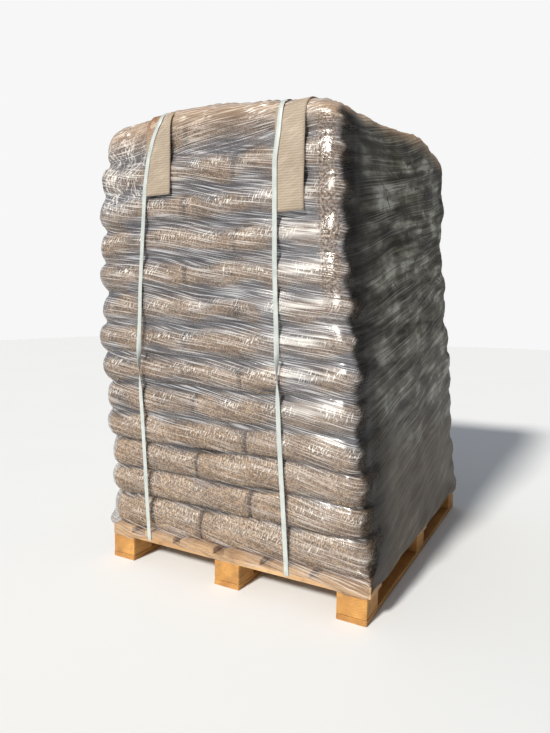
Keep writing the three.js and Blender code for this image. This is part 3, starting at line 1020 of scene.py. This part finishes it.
def filmBase():
    # the film without its wrinkles: hem, wall, shoulder, crown and rim
    look = filmLook
    deckTop, top = layers[0]["low"][2], topLayer["high"][2]
    hem = np.linspace(look["hemHeight"], deckTop, look["hemRows"])
    wall = np.arange(deckTop + 2 * mm, top - bagLook["topDepth"], look["rowPitch"])
    heights = np.concatenate([hem, wall])
    wallCount = len(heights)
    deckLow, deckHigh = boxOf("deck_board_1")[0], boxOf("deck_board_6")[1]
    reaches = {
        "front": (np.array([-layer["low"][1] for layer in layers]), -deckLow[1]),
        "right": (np.array([layer["high"][0] for layer in layers]), deckHigh[0]),
        "back": (np.array([layer["high"][1] for layer in layers]), deckHigh[1]),
        "left": (np.array([-layer["low"][0] for layer in layers]), -deckLow[0]),
    }
    phi = np.radians(np.linspace(6, 90, 12))
    inward = np.array(look["overCrown"]) * mm
    rimIn, rimUp = (np.array(part) * mm for part in zip(*look["rim"]))
    rows = {}
    for side, (reach, deckReach) in reaches.items():
        onWall = filmDistance(reach, deckReach, heights, look["valleyShare"][side])
        shoulder = bagLook["topShoulder"][side]
        shoulder = reach[-1] + look["standOff"] * np.cos(phi) - shoulder * (1 - np.cos(phi))
        rows[side] = np.concatenate([onWall, shoulder, shoulder[-1] - inward, shoulder[-1] - rimIn])
    crown, dome = top + look["standOff"], bagLook["topDome"]
    shoulderRise = top - bagLook["topDepth"] * (1 - np.sin(phi)) + look["standOff"] * np.sin(phi)
    heights = np.concatenate([heights, shoulderRise, crown + dome * smooth(inward, 0, 45 * mm),
                              crown + dome + rimUp])
    grown = smooth(heights, deckTop, deckTop + look["cornerFade"])
    radius = look["deckCorner"] + (look["cornerRadius"] - look["deckCorner"]) * grown
    shrink = np.concatenate([np.zeros(wallCount), look["crownShrink"] * (1 - np.cos(phi)),
                             look["crownShrink"] + 0.1 * inward, look["rimShrink"] + 0 * rimIn])
    radii = [np.maximum(radius - shrink, look["leastCorner"])] * 4
    sides = outline(-rows["left"], rows["right"], -rows["front"], rows["back"], radii, filmPlan())
    points = np.concatenate([sides, np.repeat(heights[:, None, None], sides.shape[1], axis=1)], axis=-1)
    return pullTaut(settle(points), wallCount), heights, wallCount


def turnOf(first, second, third):
    # above zero where the way through the three points turns left
    return (second[0] - first[0]) * (third[1] - first[1]) - (second[1] - first[1]) * (third[0] - first[0])


def tautOver(run):
    # what stretched film, a tight strap or stiff card touches: the outer hull of the run, going up and over
    hull = []
    for point in run:
        while len(hull) >= 2 and turnOf(hull[-2], hull[-1], point) <= 0:
            hull.pop()
        hull.append(point)
    return np.array(hull)


def pullTaut(points, wallCount):
    # on the right side, away from its corners, the film spans flat from bag to bag
    start = filmLook["hemRows"] - 1
    for column, (side, share, isCorner) in enumerate(filmPlan()):
        if side == 1 and not isCorner:
            x, z = points[start:wallCount, column, 0], points[start:wallCount, column, 2]
            hull = tautOver(np.stack([x, z], axis=-1))
            gap = np.interp(z, hull[:, 1], hull[:, 0]) - x
            away = smooth(share, 0.0, 0.14) * (1 - smooth(share, 0.88, 1.0))
            reach = filmLook["tautReach"]
            x += away * reach * np.tanh(filmLook["tautShare"] * gap / reach)
    return points


def filmWays(points, heights, wallCount):
    # the way round in metres from the front left corner, and the way up, which goes on over the crown
    middleRow = int(np.searchsorted(heights[:wallCount], 0.8))
    step = np.linalg.norm(np.diff(points[middleRow], axis=0), axis=1)
    along = np.concatenate([[0], np.cumsum(step)])
    start = next(index for index, (side, share, isCorner) in enumerate(filmPlan())
                 if side == 0 and not isCorner)
    along = along - along[start] + 0 * heights[:, None]
    travelled = np.linalg.norm(np.diff(points, axis=0, prepend=points[:1]), axis=-1).cumsum(axis=0)
    isOver = np.arange(len(heights))[:, None] >= wallCount
    overWay = travelled - travelled[wallCount - 1] + heights[wallCount - 1]
    return along, np.where(isOver, overWay, heights[:, None] + 0 * along), isOver


def rippleOn(along, up, rise, wavelength, seed):
    # a random field on the film, whose features are this many times shorter upwards
    return ripple(np.stack([along, up * rise], axis=-1), wavelength, seed)


def foldLift(along, up, onRight, over):
    # long folds in the way of the pull, crumples at the upper left and pleats over the crown
    look = filmLook
    high = smooth(up, 1.15, 1.4)
    patches = smooth(rippleOn(along, up, 1.6, 0.5, 31), -0.8, 0.9)
    falling = crease(slanted(along, up, *look["falling"]), 0.32)
    folds = falling * patches * (1 - onRight * 0.8) * (1 - 0.6 * high)
    folds += crease(slanted(along, up, *look["highRising"]), 0.32) * high * (1 - onRight * 0.7)
    folds += crease(slanted(along, up, *look["rightRising"]), 0.30) * onRight * 1.3
    folds += crease(slanted(along, up, *look["fine"]), 0.30) * 0.6
    nearLeft = np.exp(-(along / 0.16) ** 2)
    crumple = np.abs(rippleOn(along, up, 1, 0.055, 36)) * (0.12 + nearLeft * high)
    pleats = np.abs(rippleOn(along / 0.055, up, 1.5, 1.0, 37)) * over
    return folds * look["foldHeight"] + crumple * 1.3 * mm + pleats * 2.4 * mm


def layerMarks(along, up, heights, isOver):
    # valley is 1 between two layers, loose where the film hangs free of the bags, and crest on a bag's belly
    bottoms = np.array([layer["low"][2] for layer in layers[1:]])
    gap = np.min(np.abs(heights[:, None] - bottoms), axis=1)[:, None]
    valley = np.exp(-(gap / (15 * mm)) ** 2) * ~isOver
    spread = 13 * mm + 21 * mm * smooth(up, 0.42, 0.80)
    loose = np.exp(-(gap / spread) ** 2) + 0.22 * rippleOn(along, up, 2.5, 0.20, 44)
    middles = np.array([(layer["low"][2] + layer["high"][2]) / 2 for layer in layers])
    fromMiddle = heights[:, None] - middles
    nearest = np.take_along_axis(fromMiddle, np.abs(fromMiddle).argmin(axis=1)[:, None], axis=1)
    crest = np.exp(-((nearest - 14 * mm) / (17 * mm)) ** 2) * ~isOver
    return valley, smooth(loose, 0.25, 0.85) * ~isOver, crest


def hemDrop(points, along, onFront):
    # the hem hangs lowest between the blocks of the front, where it is slack
    blockPitch, blockStart = 0.45, 0.06
    slack = smooth(np.sin((points[:1, :, 0] + blockStart) * 2 * math.pi / blockPitch), -0.2, 0.9)
    waves = 4 * mm * ripple(along[:1, :, None], 0.3, 41)
    return 14 * mm * onFront * slack + waves + 0.6 * mm * ripple(along[:1, :, None], 0.05, 43)


def wrinkle(points, heights, wallCount):
    # the folds, outwards from the smooth film, and then the rim and the hem
    angle = planAngles(filmPlan())
    along, up, isOver = filmWays(points, heights, wallCount)
    onRight = np.clip(np.cos(angle), 0, 1) ** 2 + 0 * up
    onFront = np.clip(-np.sin(angle), 0, 1) ** 2
    wallTop = heights[wallCount - 1]
    over = smooth(up, wallTop, wallTop + 90 * mm)
    valley, loose, crest = layerMarks(along, up, heights, isOver)
    # between two layers the film bridges the valley here and sinks into it there
    sink = rippleOn(along, up, 2.5, 0.30, 42)
    lift = foldLift(along, up, onRight, over) + valley * sink * (3.2 - 2.7 * onRight) * mm
    lift += np.maximum(rippleOn(along, up, 1, 0.22, 38), 0) * 0.6 * mm
    number = np.arange(len(heights))
    rimStart = len(heights) - len(filmLook["rim"])
    toRim = smooth(number, rimStart - 3, rimStart)[:, None]
    points = points + gridNormals(points) * (lift * (1 - toRim))[..., None]
    # the rim wanders in and out over the crown
    drift = ripple(np.stack([np.cos(angle), np.sin(angle)], axis=-1), 1.1, 39) * 24 * mm
    reachIn = smooth(number, wallCount + 12, rimStart)[:, None] * drift
    points[..., 0] -= np.cos(angle) * reachIn
    points[..., 1] -= np.sin(angle) * reachIn
    toHem = 1 - smooth(number, 0, filmLook["hemRows"])[:, None]
    points[..., 2] -= toHem * hemDrop(points, along, onFront)
    return points, {"along": along, "up": up, "onRight": onRight,
                    "loose": loose, "crest": crest, "over": over}


filmZones = {
    # where each effect begins and ends, in metres: along is the way round from the front left corner, and
    # up is the height, which goes on over the crown
    "top": (1.36, 1.46),
    "brow": (1.45, 1.53),
    "low": (0.36, 0.62),
    "deck": (0.145, 0.160),
    "leftSide": (-0.12, -0.02),
    "sunSide": (0.50, 0.84),
    "toFar": (0.96, 1.22),
    "glare": ((0.60, 0.80), (0.85, 0.89)),          # begins along, ends along
    "leftCorner": ((-0.45, -0.12), (0.10, 0.22), (1.19, 1.31)),     # and from this height up
    "rightEdge": ((0.845, 0.885), (0.91, 0.95), (0.75, 1.05)),
    "creaseShadows": ((1.10, 1.30), (0.85, 1.00)),         # begins along, and from this height up
}

filmStreaks = {
    # rise in degrees, length and width in metres, and for some the noise's detail and roughness
    "falling": (-9, 0.16, 0.0032),
    "rising": (7, 0.16, 0.0034),
    "steep": (14, 0.60, 0.0041),
    "broad": (-8, 0.22, 0.012, 2.0),
    "broadSteep": (13, 0.40, 0.020, 2.0),
    "ticks": (66, 0.017, 0.0044),
    "crinkle": (16, 0.040, 0.0046),
    "blots": (10, 0.22, 0.085, 3.0, 0.6),
}

filmTints = {
    # each ramp's stops
    "sunny": ((0.38, colour(84, 73, 68)), (0.46, colour(128, 115, 109)), (0.53, colour(168, 157, 151)),
              (0.62, colour(230, 224, 219))),
    "skyReflection": ((0.38, colour(54, 54, 61)), (0.46, colour(98, 98, 105)), (0.54, colour(138, 138, 143)),
             (0.62, colour(188, 189, 193))),
    "shady": ((0.40, colour(40, 36, 31)), (0.465, colour(82, 77, 66)), (0.54, colour(126, 122, 110)),
              (0.60, colour(184, 184, 174))),
    "rightEdge": ((0.38, colour(62, 50, 43)), (0.64, colour(168, 148, 130))),
    "tan": ((0.40, colour(150, 122, 96)), (0.58, colour(197, 168, 138))),
}


def filmMarks(shade):
    # where on the film a place lies, as masks from 0 to 1
    zones, film = filmZones, SimpleNamespace()
    film.wrap = shade.attribute("wrap", "Vector")       # the way round and the way up
    along, up = film.along, film.up = film.wrap.part("X"), film.wrap.part("Y")
    film.crest = shade.attribute("crest", "Fac")
    region = shade.attribute("region", "Vector")
    film.onRight, film.bridge, film.over = region.part("X"), region.part("Y"), region.part("Z")
    film.onWall = 1 - film.over
    # painted shade: from this ragged boundary round the right side the film takes its shaded colours, sooner
    # in the valleys than on the lit bellies
    edge = film.onRight + film.wrap.noise(15, 2.0) * 0.55 - film.crest * 0.25 - 0.17
    film.turned = edge.rise(0.30, 0.70)
    film.low = 1 - up.rise(*zones["low"])
    starts, ends, high = zones["leftCorner"]
    film.leftCorner = (1 - along.rise(*ends)) * along.rise(*starts) * up.rise(*high) * film.onWall
    starts, ends, high = zones["rightEdge"]
    film.rightEdge = along.rise(*starts) * (1 - along.rise(*ends)) * up.rise(*high) * film.onWall
    film.leftSide = 1 - along.rise(*zones["leftSide"])
    film.brow = up.rise(*zones["brow"]) * (1 - film.turned)
    film.sunSide = along.rise(*zones["sunSide"]) * (1 - film.turned)
    film.toFar = along.rise(*zones["toFar"])
    film.cloud = film.wrap.noise(5, 2.0)
    film.crumple = film.wrap.noise(130, 2.0, 0.6)
    # where the film is free of the bags its streaks are strong, elsewhere faint
    loose = film.bridge * (0.85 - film.leftCorner * 0.25) + film.cloud.rise(0.44, 0.62) * 0.35
    loose = loose + film.leftCorner * 0.2 - film.low * 0.35
    film.loose = loose.most(0.0).least(1.0)
    return film


def addStreaks(shade, film):
    # the lines that the pull leaves, which bend a little from place to place
    streaks = filmStreaks
    wrap, along, up = film.wrap, film.along, film.up
    bent = shade.vector(along, up + wrap.noise(2.2, 1.0) * 0.03, 0.0)
    film.straight = shade.vector(along, up + wrap.noise(1.4, 1.0) * 0.012, 0.0)
    film.steep = film.straight.streaks(*streaks["steep"])
    isHigh = up.rise(*filmZones["top"])
    front = isHigh.blend(bent.streaks(*streaks["falling"]), bent.streaks(*streaks["rising"]))
    film.lines = film.turned.blend(front, film.steep).part("X")
    broadSteep = film.straight.streaks(*streaks["broadSteep"])
    film.wide = film.turned.blend(bent.streaks(*streaks["broad"]), broadSteep).part("X")
    film.mixed = film.lines * 0.78 + film.wide * 0.22
    film.bright = film.mixed.rise(0.52, 0.60)
    film.dark = 1 - film.mixed.rise(0.40, 0.48)
    # painted glints: thin white lines along creases that cross each other where the film is bunched at the
    # upper left
    creased = 0.0
    for turn, seedHeight in ((57, 0.0), (121, 3.0), (88, 6.0)):
        shifted = shade.vector(along, up + seedHeight, 0.0)
        waver = shifted.streaks(turn, 0.075, 0.017, 2.0, 0.55)
        isHere = shifted.noise(19, 1.0).rise(0.45, 0.55)
        creased = ((1 - (waver - 0.5).size().rise(0.004, 0.030)) * isHere).most(creased)
    film.creased = creased * film.leftCorner
    # painted glints: white ticks across each bag's belly
    ticks = wrap.streaks(*streaks["ticks"]).rise(0.54, 0.62) * film.crest
    film.ticks = ticks * wrap.noise(11, 1.0).rise(0.42, 0.58) * film.onWall
    # painted glints: small white crinkles along the top edge
    crinkle = wrap.streaks(*streaks["crinkle"]).rise(0.56, 0.65) * film.brow
    film.crinkle = crinkle * wrap.noise(9, 1.0).rise(0.45, 0.60)
    # painted highlight: beside the front right corner the stretched film shines white in the sun, painted
    # into its colour and opacity
    starts, ends = filmZones["glare"]
    glare = along.rise(*starts) * (1 - along.rise(*ends)) * up.rise(0.45, 0.75, 0.2, 1.0)
    film.glare = glare * film.crest * (film.wide * 0.6 + film.cloud * 0.4).rise(0.42, 0.56)


def filmShare(shade, film):
    # how much of what is behind the film it hides
    facing = shade.node("LayerWeight", {}, {"Blend": 0.3}, "Fresnel")
    drawn = (film.bright * 0.24 + film.dark * 0.28) * (film.loose * 0.55 + 0.75)
    share = 0.14 + film.up.rise(0.45, 0.85) * 0.10 + film.loose * 0.26 + drawn + facing * 0.20
    # the painted highlights (crease glints, glare, ticks, crinkles) and the sunny strip make the film more
    # opaque, so that their white shows
    share = share + film.brow * 0.30 + film.crinkle * 0.35 + film.sunSide * 0.14
    share = share + film.leftCorner * 0.10 + film.creased * 0.34 + film.glare * 0.42 + film.over * 0.40
    share = share + film.rightEdge * film.crumple.rise(0.40, 0.58) * 0.35 + film.leftSide * 0.22
    onDeck = 1 - film.up.rise(*filmZones["deck"])
    share = share + film.ticks * 0.45 + onDeck * film.bright * 0.10
    # painted shade: on the right side the film is made nearly opaque, so that its dark shaded colour covers
    # the bags
    shadeVeil = film.onRight * (0.56 + film.toFar * 0.12 + film.cloud.rise(0.38, 0.62) * 0.22)
    return (share * (1 - film.onRight * 0.5 - film.low * 0.2) + shadeVeil).least(0.96)


def sunnyTint(film):
    # on the sunny front the film is greyish with dark and light lines, cooler where it bridges a valley,
    # which is a painted reflection of the sky; the white marks laid on below are painted glints and a painted
    # highlight
    tints = filmTints
    tint = film.loose.blend(film.mixed.ramp(*tints["sunny"]), film.mixed.ramp(*tints["skyReflection"]))
    for share, added in ((film.creased * 0.68, colour(246, 240, 232)),
                         (film.leftSide * 0.55, colour(160, 139, 118)),
                         (film.glare * 0.72, colour(246, 242, 236)),
                         (film.ticks * 0.9, colour(244, 238, 230)),
                         (film.rightEdge * 0.8, film.crumple.ramp(*tints["rightEdge"])),
                         ((film.over * 0.85).most(film.brow * 0.7), film.mixed.ramp(*tints["tan"])),
                         (film.crinkle, colour(250, 246, 240))):
        tint = share.blend(tint, added)
    return tint


def shadedTint(shade, film):
    # painted shade: on the shaded right side the film is painted dark and cloudy, with long thin streaks and,
    # high up towards the back, fine black creases
    wrap, along, up = film.wrap, film.along, film.up
    # painted shadow: fine black lines in the creases high up towards the back
    shaken = shade.vector(along + wrap.noise(22, 1.0) * 0.05, up + wrap.noise(17, 1.0) * 0.04, 0.0)
    creaseShadow = 1 - shaken.drawnOut((0, 0, -14), 0.15, 0.07).edges().rise(0.008, 0.030)
    starts, high = filmZones["creaseShadows"]
    creaseShadow = creaseShadow * wrap.noise(12, 1.0).rise(0.48, 0.56) * along.rise(*starts) * up.rise(*high)
    blots = film.straight.streaks(*filmStreaks["blots"])
    tint = (blots * 0.62 + film.wide * 0.38).ramp(*filmTints["shady"])
    for share, added in ((film.low * 0.65, colour(74, 64, 50)),
                         (wrap.noise(8, 2.0).rise(0.50, 0.64) * 0.6, colour(66, 62, 38)),
                         ((1 - film.steep.rise(0.36, 0.44)) * 0.5, colour(44, 42, 40)),
                         (film.steep.rise(0.58, 0.66) * 0.34, colour(204, 204, 194)),
                         (film.low * 0.45, colour(92, 75, 57)),
                         (creaseShadow * 0.8, colour(26, 25, 25))):
        tint = share.blend(tint, added)
    # painted shade: darkest beside the front right corner, lighter towards the far edge
    cornerShade = (0.08 + film.toFar * 0.92).blend(colour(26, 25, 27), tint)
    return (film.over * 0.85).blend(cornerShade, film.mixed.ramp(*filmTints["tan"]))


def filmMaterial():
    material, shade = newMaterial("stretchFilm")
    film = filmMarks(shade)
    addStreaks(shade, film)
    relief = film.lines * 0.8 + film.wide * 0.4 + film.crumple * 0.3 + film.rightEdge * film.crumple * 0.9
    normal = relief.bump(0.55, 2.2 * mm)
    sheen = film.wrap.noise(7, 2.0).rise(0.42, 0.60)
    coat = (sheen * (0.6 - film.bridge * 0.4) + film.sunSide * 0.3) * film.along.rise(-0.10, 0.02)
    gloss = shade.node("BsdfPrincipled", {}, {
        "Base Color": sunnyTint(film),
        "Roughness": 0.33 - sheen * 0.12 - film.sunSide * 0.04 + film.leftSide * 0.14,
        "Specular IOR Level": 1.0,
        "Coat Weight": coat,
        "Coat Roughness": 0.16,
        "Normal": normal,
    })
    # painted shade: a dull, darker copy of the film for the shaded right side, which the shade mask mixes in
    # for the sunny copy
    shadedFilm = shade.node("BsdfPrincipled", {}, {
        "Base Color": shadedTint(shade, film),
        "Roughness": 0.46,
        "Specular IOR Level": 0.22,
        "Normal": normal,
    })
    surface = shade.node("MixShader", {}, {0: film.turned, 1: gloss, 2: shadedFilm})
    clear = shade.node("BsdfTransparent", {}, {"Color": (0.965, 0.965, 0.965, 1)})
    finishSurface(shade, shade.node("MixShader", {}, {0: filmShare(shade, film), 1: clear, 2: surface}))
    return material


def buildFilm():
    smoothFilm, heights, wallCount = filmBase()
    points, marks = wrinkle(smoothFilm.copy(), heights, wallCount)
    begins, ends = filmLook["offDeck"]
    offDeck = smooth(heights, *begins) * (1 - smooth(heights, *ends))
    bridge = np.maximum(marks["loose"] * (1 - marks["over"]), offDeck[:, None] * 0.4)
    wrap = np.stack([marks["along"], marks["up"], 0 * marks["up"]], axis=-1)
    region = np.stack([marks["onRight"], bridge, marks["over"]], axis=-1)
    film = gridPiece("stretch_film_wrap", points, capped=False,
                     attributes={"wrap": wrap, "region": region, "crest": marks["crest"] + 0 * marks["up"]})
    dress(film, "stretch_film", filmMaterial(), "stretch_film")
    return smoothFilm


smoothFilm = buildFilm()
print("stage: film")


# Straps and card pads

strapLook = {
    "width": 16 * mm,
    "thickness": 1.0 * mm,
    "gap": 1.2 * mm,
    "twistHeight": 0.735,
    "twistLength": 0.26,
    "underDeck": 85.0 * mm,
    "leavesDeck": 0.12,
    "padsFrom": 0.352,          # how far out from the middle the pads begin
    "bulge": 0.9,
    # where the middle of each strap runs up the front: height, distance from the pallet's middle
    "left": [(0.10, -0.326), (0.244, -0.333), (0.424, -0.339), (0.601, -0.346), (0.811, -0.347),
             (0.982, -0.344), (1.15, -0.332), (1.314, -0.320), (1.41, -0.306), (1.472, -0.288),
             (1.53, -0.262)],
    "right": [(0.10, 0.226), (0.275, 0.216), (0.40, 0.208), (0.554, 0.199), (0.798, 0.193), (0.947, 0.184),
              (1.065, 0.180), (1.24, 0.178), (1.354, 0.177), (1.432, 0.186), (1.50, 0.190)],
}

padLook = {
    "thickness": 3.6 * mm,
    "width": 98 * mm,
    "gap": 1.2 * mm,
    "flutePitch": 7.5 * mm,
    "fluteHeight": 0.12 * mm,
    "swell": 0.7 * mm,
    "curl": 3 * mm,
    "ridge": 5 * mm,
}

runPitch = 9 * mm

palletShift = 37.5 * mm     # the whole load's middle lies this far to the left of the pallet's


def endRun(end, x):
    # the film's smooth face up one end at this x, from the deck to the crown, as distance outwards and height
    side = 0 if end == "front" else 2
    columns = [index for index, (where, share, isCorner) in enumerate(filmPlan())
               if where == side and not isCorner]
    run = []
    for row in smoothFilm[filmLook["hemRows"] - 1:-len(filmLook["rim"]), columns]:
        order = np.argsort(row[:, 0])
        y = np.interp(x, row[order, 0], row[order, 1])
        z = np.interp(x, row[order, 0], row[order, 2])
        run.append((abs(y), z))
    return np.array(run)


def wayAlong(path):
    return np.concatenate([[0], np.cumsum(np.linalg.norm(np.diff(path, axis=0), axis=1))])


def resample(path, pitch):
    length = wayAlong(path)
    count = max(2, round(length[-1] / pitch))
    where = np.linspace(0, length[-1], count + 1)
    return np.stack([np.interp(where, length, path[:, axis]) for axis in range(path.shape[1])], axis=-1)


def offsetRun(run, distance):
    tangent = np.gradient(run, axis=0)
    tangent /= np.maximum(np.linalg.norm(tangent, axis=1, keepdims=True), 1e-9)
    return run + np.stack([tangent[:, 1], -tangent[:, 0]], axis=-1) * distance


def cardMaterial():
    material, shade = newMaterial("greyCard")
    sheet = shade.attribute("sheet", "Vector")
    place = shade.node("TexCoord", {}, {}, "Object")
    fibre = place.noise(420, 4.0, 0.65)
    cloud = place.noise(22, 3.0)
    wave = sheet.part("Y") * (fullTurn / padLook["flutePitch"]) + sheet.part("X") * 14 + cloud * 1.6
    flute = wave.sine() * 0.5 + 0.5
    tone = flute * 0.3 + fibre * 0.35 + cloud * 0.45 - 0.05
    base = tone.ramp((0.15, colour(132, 117, 100)), (0.85, colour(174, 160, 143)))
    # pale streaks across the card, and darker brown over the crushed fold beside the strap
    streak = sheet.drawnOut((0, 0, 24), 0.07, 0.0032, 1.0).noise(1.0, 1.0).rise(0.56, 0.66)
    cardTone = (streak * 0.35).blend(base, colour(206, 194, 180))
    cardTone = sheet.part("Z").blend(cardTone, fibre.ramp((0.35, colour(92, 62, 40)), (0.65, colour(160, 122, 90))))
    finishSurface(shade, shade.node("BsdfPrincipled", {}, {
        "Base Color": cardTone,
        "Roughness": fibre * 0.15 + 0.72,
        "Normal": (flute * 0.3 + fibre * 0.5).bump(0.4, 0.5 * mm),
    }))
    return material


def padPath(node, end, middle):
    # the middle line of the pad's run, from its lower end up and over the edge
    low, high = boxOf(node)
    inner = -high[1] if end == "front" else low[1]
    run = endRun(end, middle)
    taut = tautOver(run[(run[:, 1] > low[2] - 40 * mm) & (run[:, 0] >= inner - 2 * mm)])
    taut = taut[taut[:, 1] >= low[2]]
    first = np.array([[taut[0][0], low[2]]])
    path = resample(np.concatenate([first, taut[taut[:, 1] > low[2] + 5 * mm]]), runPitch)
    # soften the hull's corners
    for _ in range(6):
        path[1:-1] = path[1:-1] * 0.5 + (path[:-2] + path[2:]) * 0.25
    return path


def buildPad(side, end, material):
    look = padLook
    node = f"edge_pad_{end}_{side}"
    low, high = boxOf(node)
    middle = (low[0] + high[0]) / 2
    path = padPath(node, end, middle)
    length = wayAlong(path)[:, None]
    across = np.linspace(-0.5, 0.5, 11)
    faces = []
    for distance in (look["gap"] + look["thickness"], look["gap"]):
        run = offsetRun(path, distance)
        x = middle + across[None, :] * look["width"] + 0 * run[:, :1]
        faces.append(np.stack([x, run[:, :1] + 0 * x, run[:, 1:] + 0 * x], axis=-1))
    outer, under = faces
    local = np.stack([outer[..., 0], length + 0 * outer[..., 0]], axis=-1)
    seed = 300 + len(node) * 3 + (7 if side == "left" else 0)
    flutes = np.sin(local[..., 1] * 2 * math.pi / look["flutePitch"]) * look["fluteHeight"]
    swell = ripple(local, 0.12, seed) * look["swell"] + flutes
    curl = (np.abs(across)[None, :] * 2) ** 6 * np.abs(ripple(local[:, :1], 0.2, seed + 1)) * look["curl"]
    # the front left pad is crushed into folds beside the strap
    fold, ridge = 0 * outer[..., 0], 0
    if node == "edge_pad_front_left":
        fold = smooth(-across, 0.02, 0.24)[None, :] * smooth(length / length[-1], 0.30, 0.55)
        ridge = np.abs(ripple(local * (1, 0.35), 0.020, seed + 2)) * look["ridge"]
    for face in faces:
        face[..., 1] += np.maximum(swell, -0.3 * mm) + curl
        face[..., 1] *= -1 if end == "front" else 1
        face[..., 1] += fold * ridge
    # a ring round the section: outer face one way, inner face back
    ring = np.concatenate([outer, under[:, ::-1]], axis=1)
    mark = np.stack([outer[..., 0] - middle, local[..., 1], fold], axis=-1)
    marks = {"sheet": np.concatenate([mark, mark], axis=1)}
    made = gridPiece(node + "_card", ring, attributes=marks, flatCaps=True)
    dress(faceOut(made), "card", material, node)


def strapMaterial():
    material, shade = newMaterial("whiteStrap")
    place = shade.node("TexCoord", {}, {}, "Object")
    ribs = (place.part("X") * (fullTurn / (1.3 * mm))).sine() * 0.5 + 0.5
    dots = (place.part("Z") * (fullTurn / (2.6 * mm))).sine() * 0.5 + 0.5
    cloud = place.noise(40, 3.0)
    base = (cloud * 0.8 + ribs * 0.12).ramp((0.2, colour(166, 174, 172)), (0.8, colour(197, 203, 200)))
    finishSurface(shade, shade.node("BsdfPrincipled", {}, {
        "Base Color": base,
        "Roughness": cloud * 0.15 + 0.3,
        "Normal": (ribs * dots).bump(0.3, 0.3 * mm),
    }))
    return material


def strapRun(side, end, x):
    # up one end, over the film and the pad, from under the deck
    look = strapLook
    run = endRun(end, x)
    padBottom = boxOf(f"edge_pad_{end}_{side}")[0][2]
    onPad = (run[:, 1] > padBottom - 4 * mm) & (run[:, 0] > look["padsFrom"])
    run = offsetRun(run, look["gap"])
    run = np.where(onPad[:, None], offsetRun(run, padLook["gap"] + padLook["thickness"]), run)
    taut = tautOver(run)
    edge = boxOf("deck_board_1")[1][1] + filmLook["deckGap"] + look["gap"]
    foot = np.array([[edge - 3 * mm, look["underDeck"]], [edge, look["underDeck"] + 4 * mm]])
    return np.concatenate([foot, taut[taut[:, 1] > look["leavesDeck"]]])


def buildStrap(side, material):
    look = strapLook
    node = f"strap_{side}"
    heights, middles = np.array(look[side]).T
    middles = middles + palletShift
    front, back = (strapRun(side, end, float(middles[-1])) for end in ("front", "back"))
    loop = np.concatenate([front * (-1, 1), back[::-1]])
    path = resample(np.concatenate([loop, loop[:1]]), runPitch)[:-1]
    for _ in range(3):
        path = path * 0.5 + (np.roll(path, 1, axis=0) + np.roll(path, -1, axis=0)) * 0.25
    x = np.interp(path[:, 1], heights, middles)
    x = np.where(path[:, 1] < heights[0] + mm, middles[0], x)
    tangent = np.roll(path, -1, axis=0) - np.roll(path, 1, axis=0)
    tangent /= np.linalg.norm(tangent, axis=1, keepdims=True)
    out = np.stack([0 * x, -tangent[:, 1], tangent[:, 0]], axis=-1)
    aside = np.stack([1 + 0 * x, 0 * x, 0 * x], axis=-1)
    # a half twist in the front run, and another in the back run so that the band closes on itself
    half, halfTwist = look["width"] / 2, look["twistLength"] / 2
    twisted = smooth(path[:, 1], look["twistHeight"] - halfTwist, look["twistHeight"] + halfTwist)
    turn = (math.pi * np.where(path[:, 0] < 0, twisted, 2 - twisted))[:, None]
    bulge = np.exp(-((path[:, 1] - look["twistHeight"]) / halfTwist) ** 2)
    centre = np.stack([x, path[:, 0], path[:, 1]], axis=-1)
    centre += out * (half * look["bulge"] * bulge)[:, None]
    wide = aside * np.cos(turn) + out * np.sin(turn)
    thick = out * np.cos(turn) - aside * np.sin(turn)
    section = [(-1, 0.0), (-0.93, 0.5), (-0.4, 0.62), (0.4, 0.62),
               (0.93, 0.5), (1, 0.0), (0.93, -0.5), (-0.93, -0.5)]
    ring = np.stack([centre + wide * half * a + thick * look["thickness"] * b for a, b in section], axis=1)
    # closed round the load: the last station meets the first
    stations, around = ring.shape[:2]
    number = np.arange(stations * around).reshape(stations, around)
    ahead = np.roll(number, -1, axis=0)
    quads = np.stack([number, np.roll(number, -1, axis=1), np.roll(ahead, -1, axis=1), ahead], axis=-1)
    quads = quads.reshape(-1, 4)
    made = addMesh(node + "_band", ring.reshape(-1, 3), [quads], atlasUvs([quads]))
    made.data.polygons.foreach_set("use_smooth", np.ones(len(quads), dtype=bool))
    dress(faceOut(made), "strap", material, node)


def buildStraps():
    card, band = cardMaterial(), strapMaterial()
    for side in ("left", "right"):
        for end in ("front", "back"):
            buildPad(side, end, card)
        buildStrap(side, band)


buildStraps()
print("stage: straps and card pads")
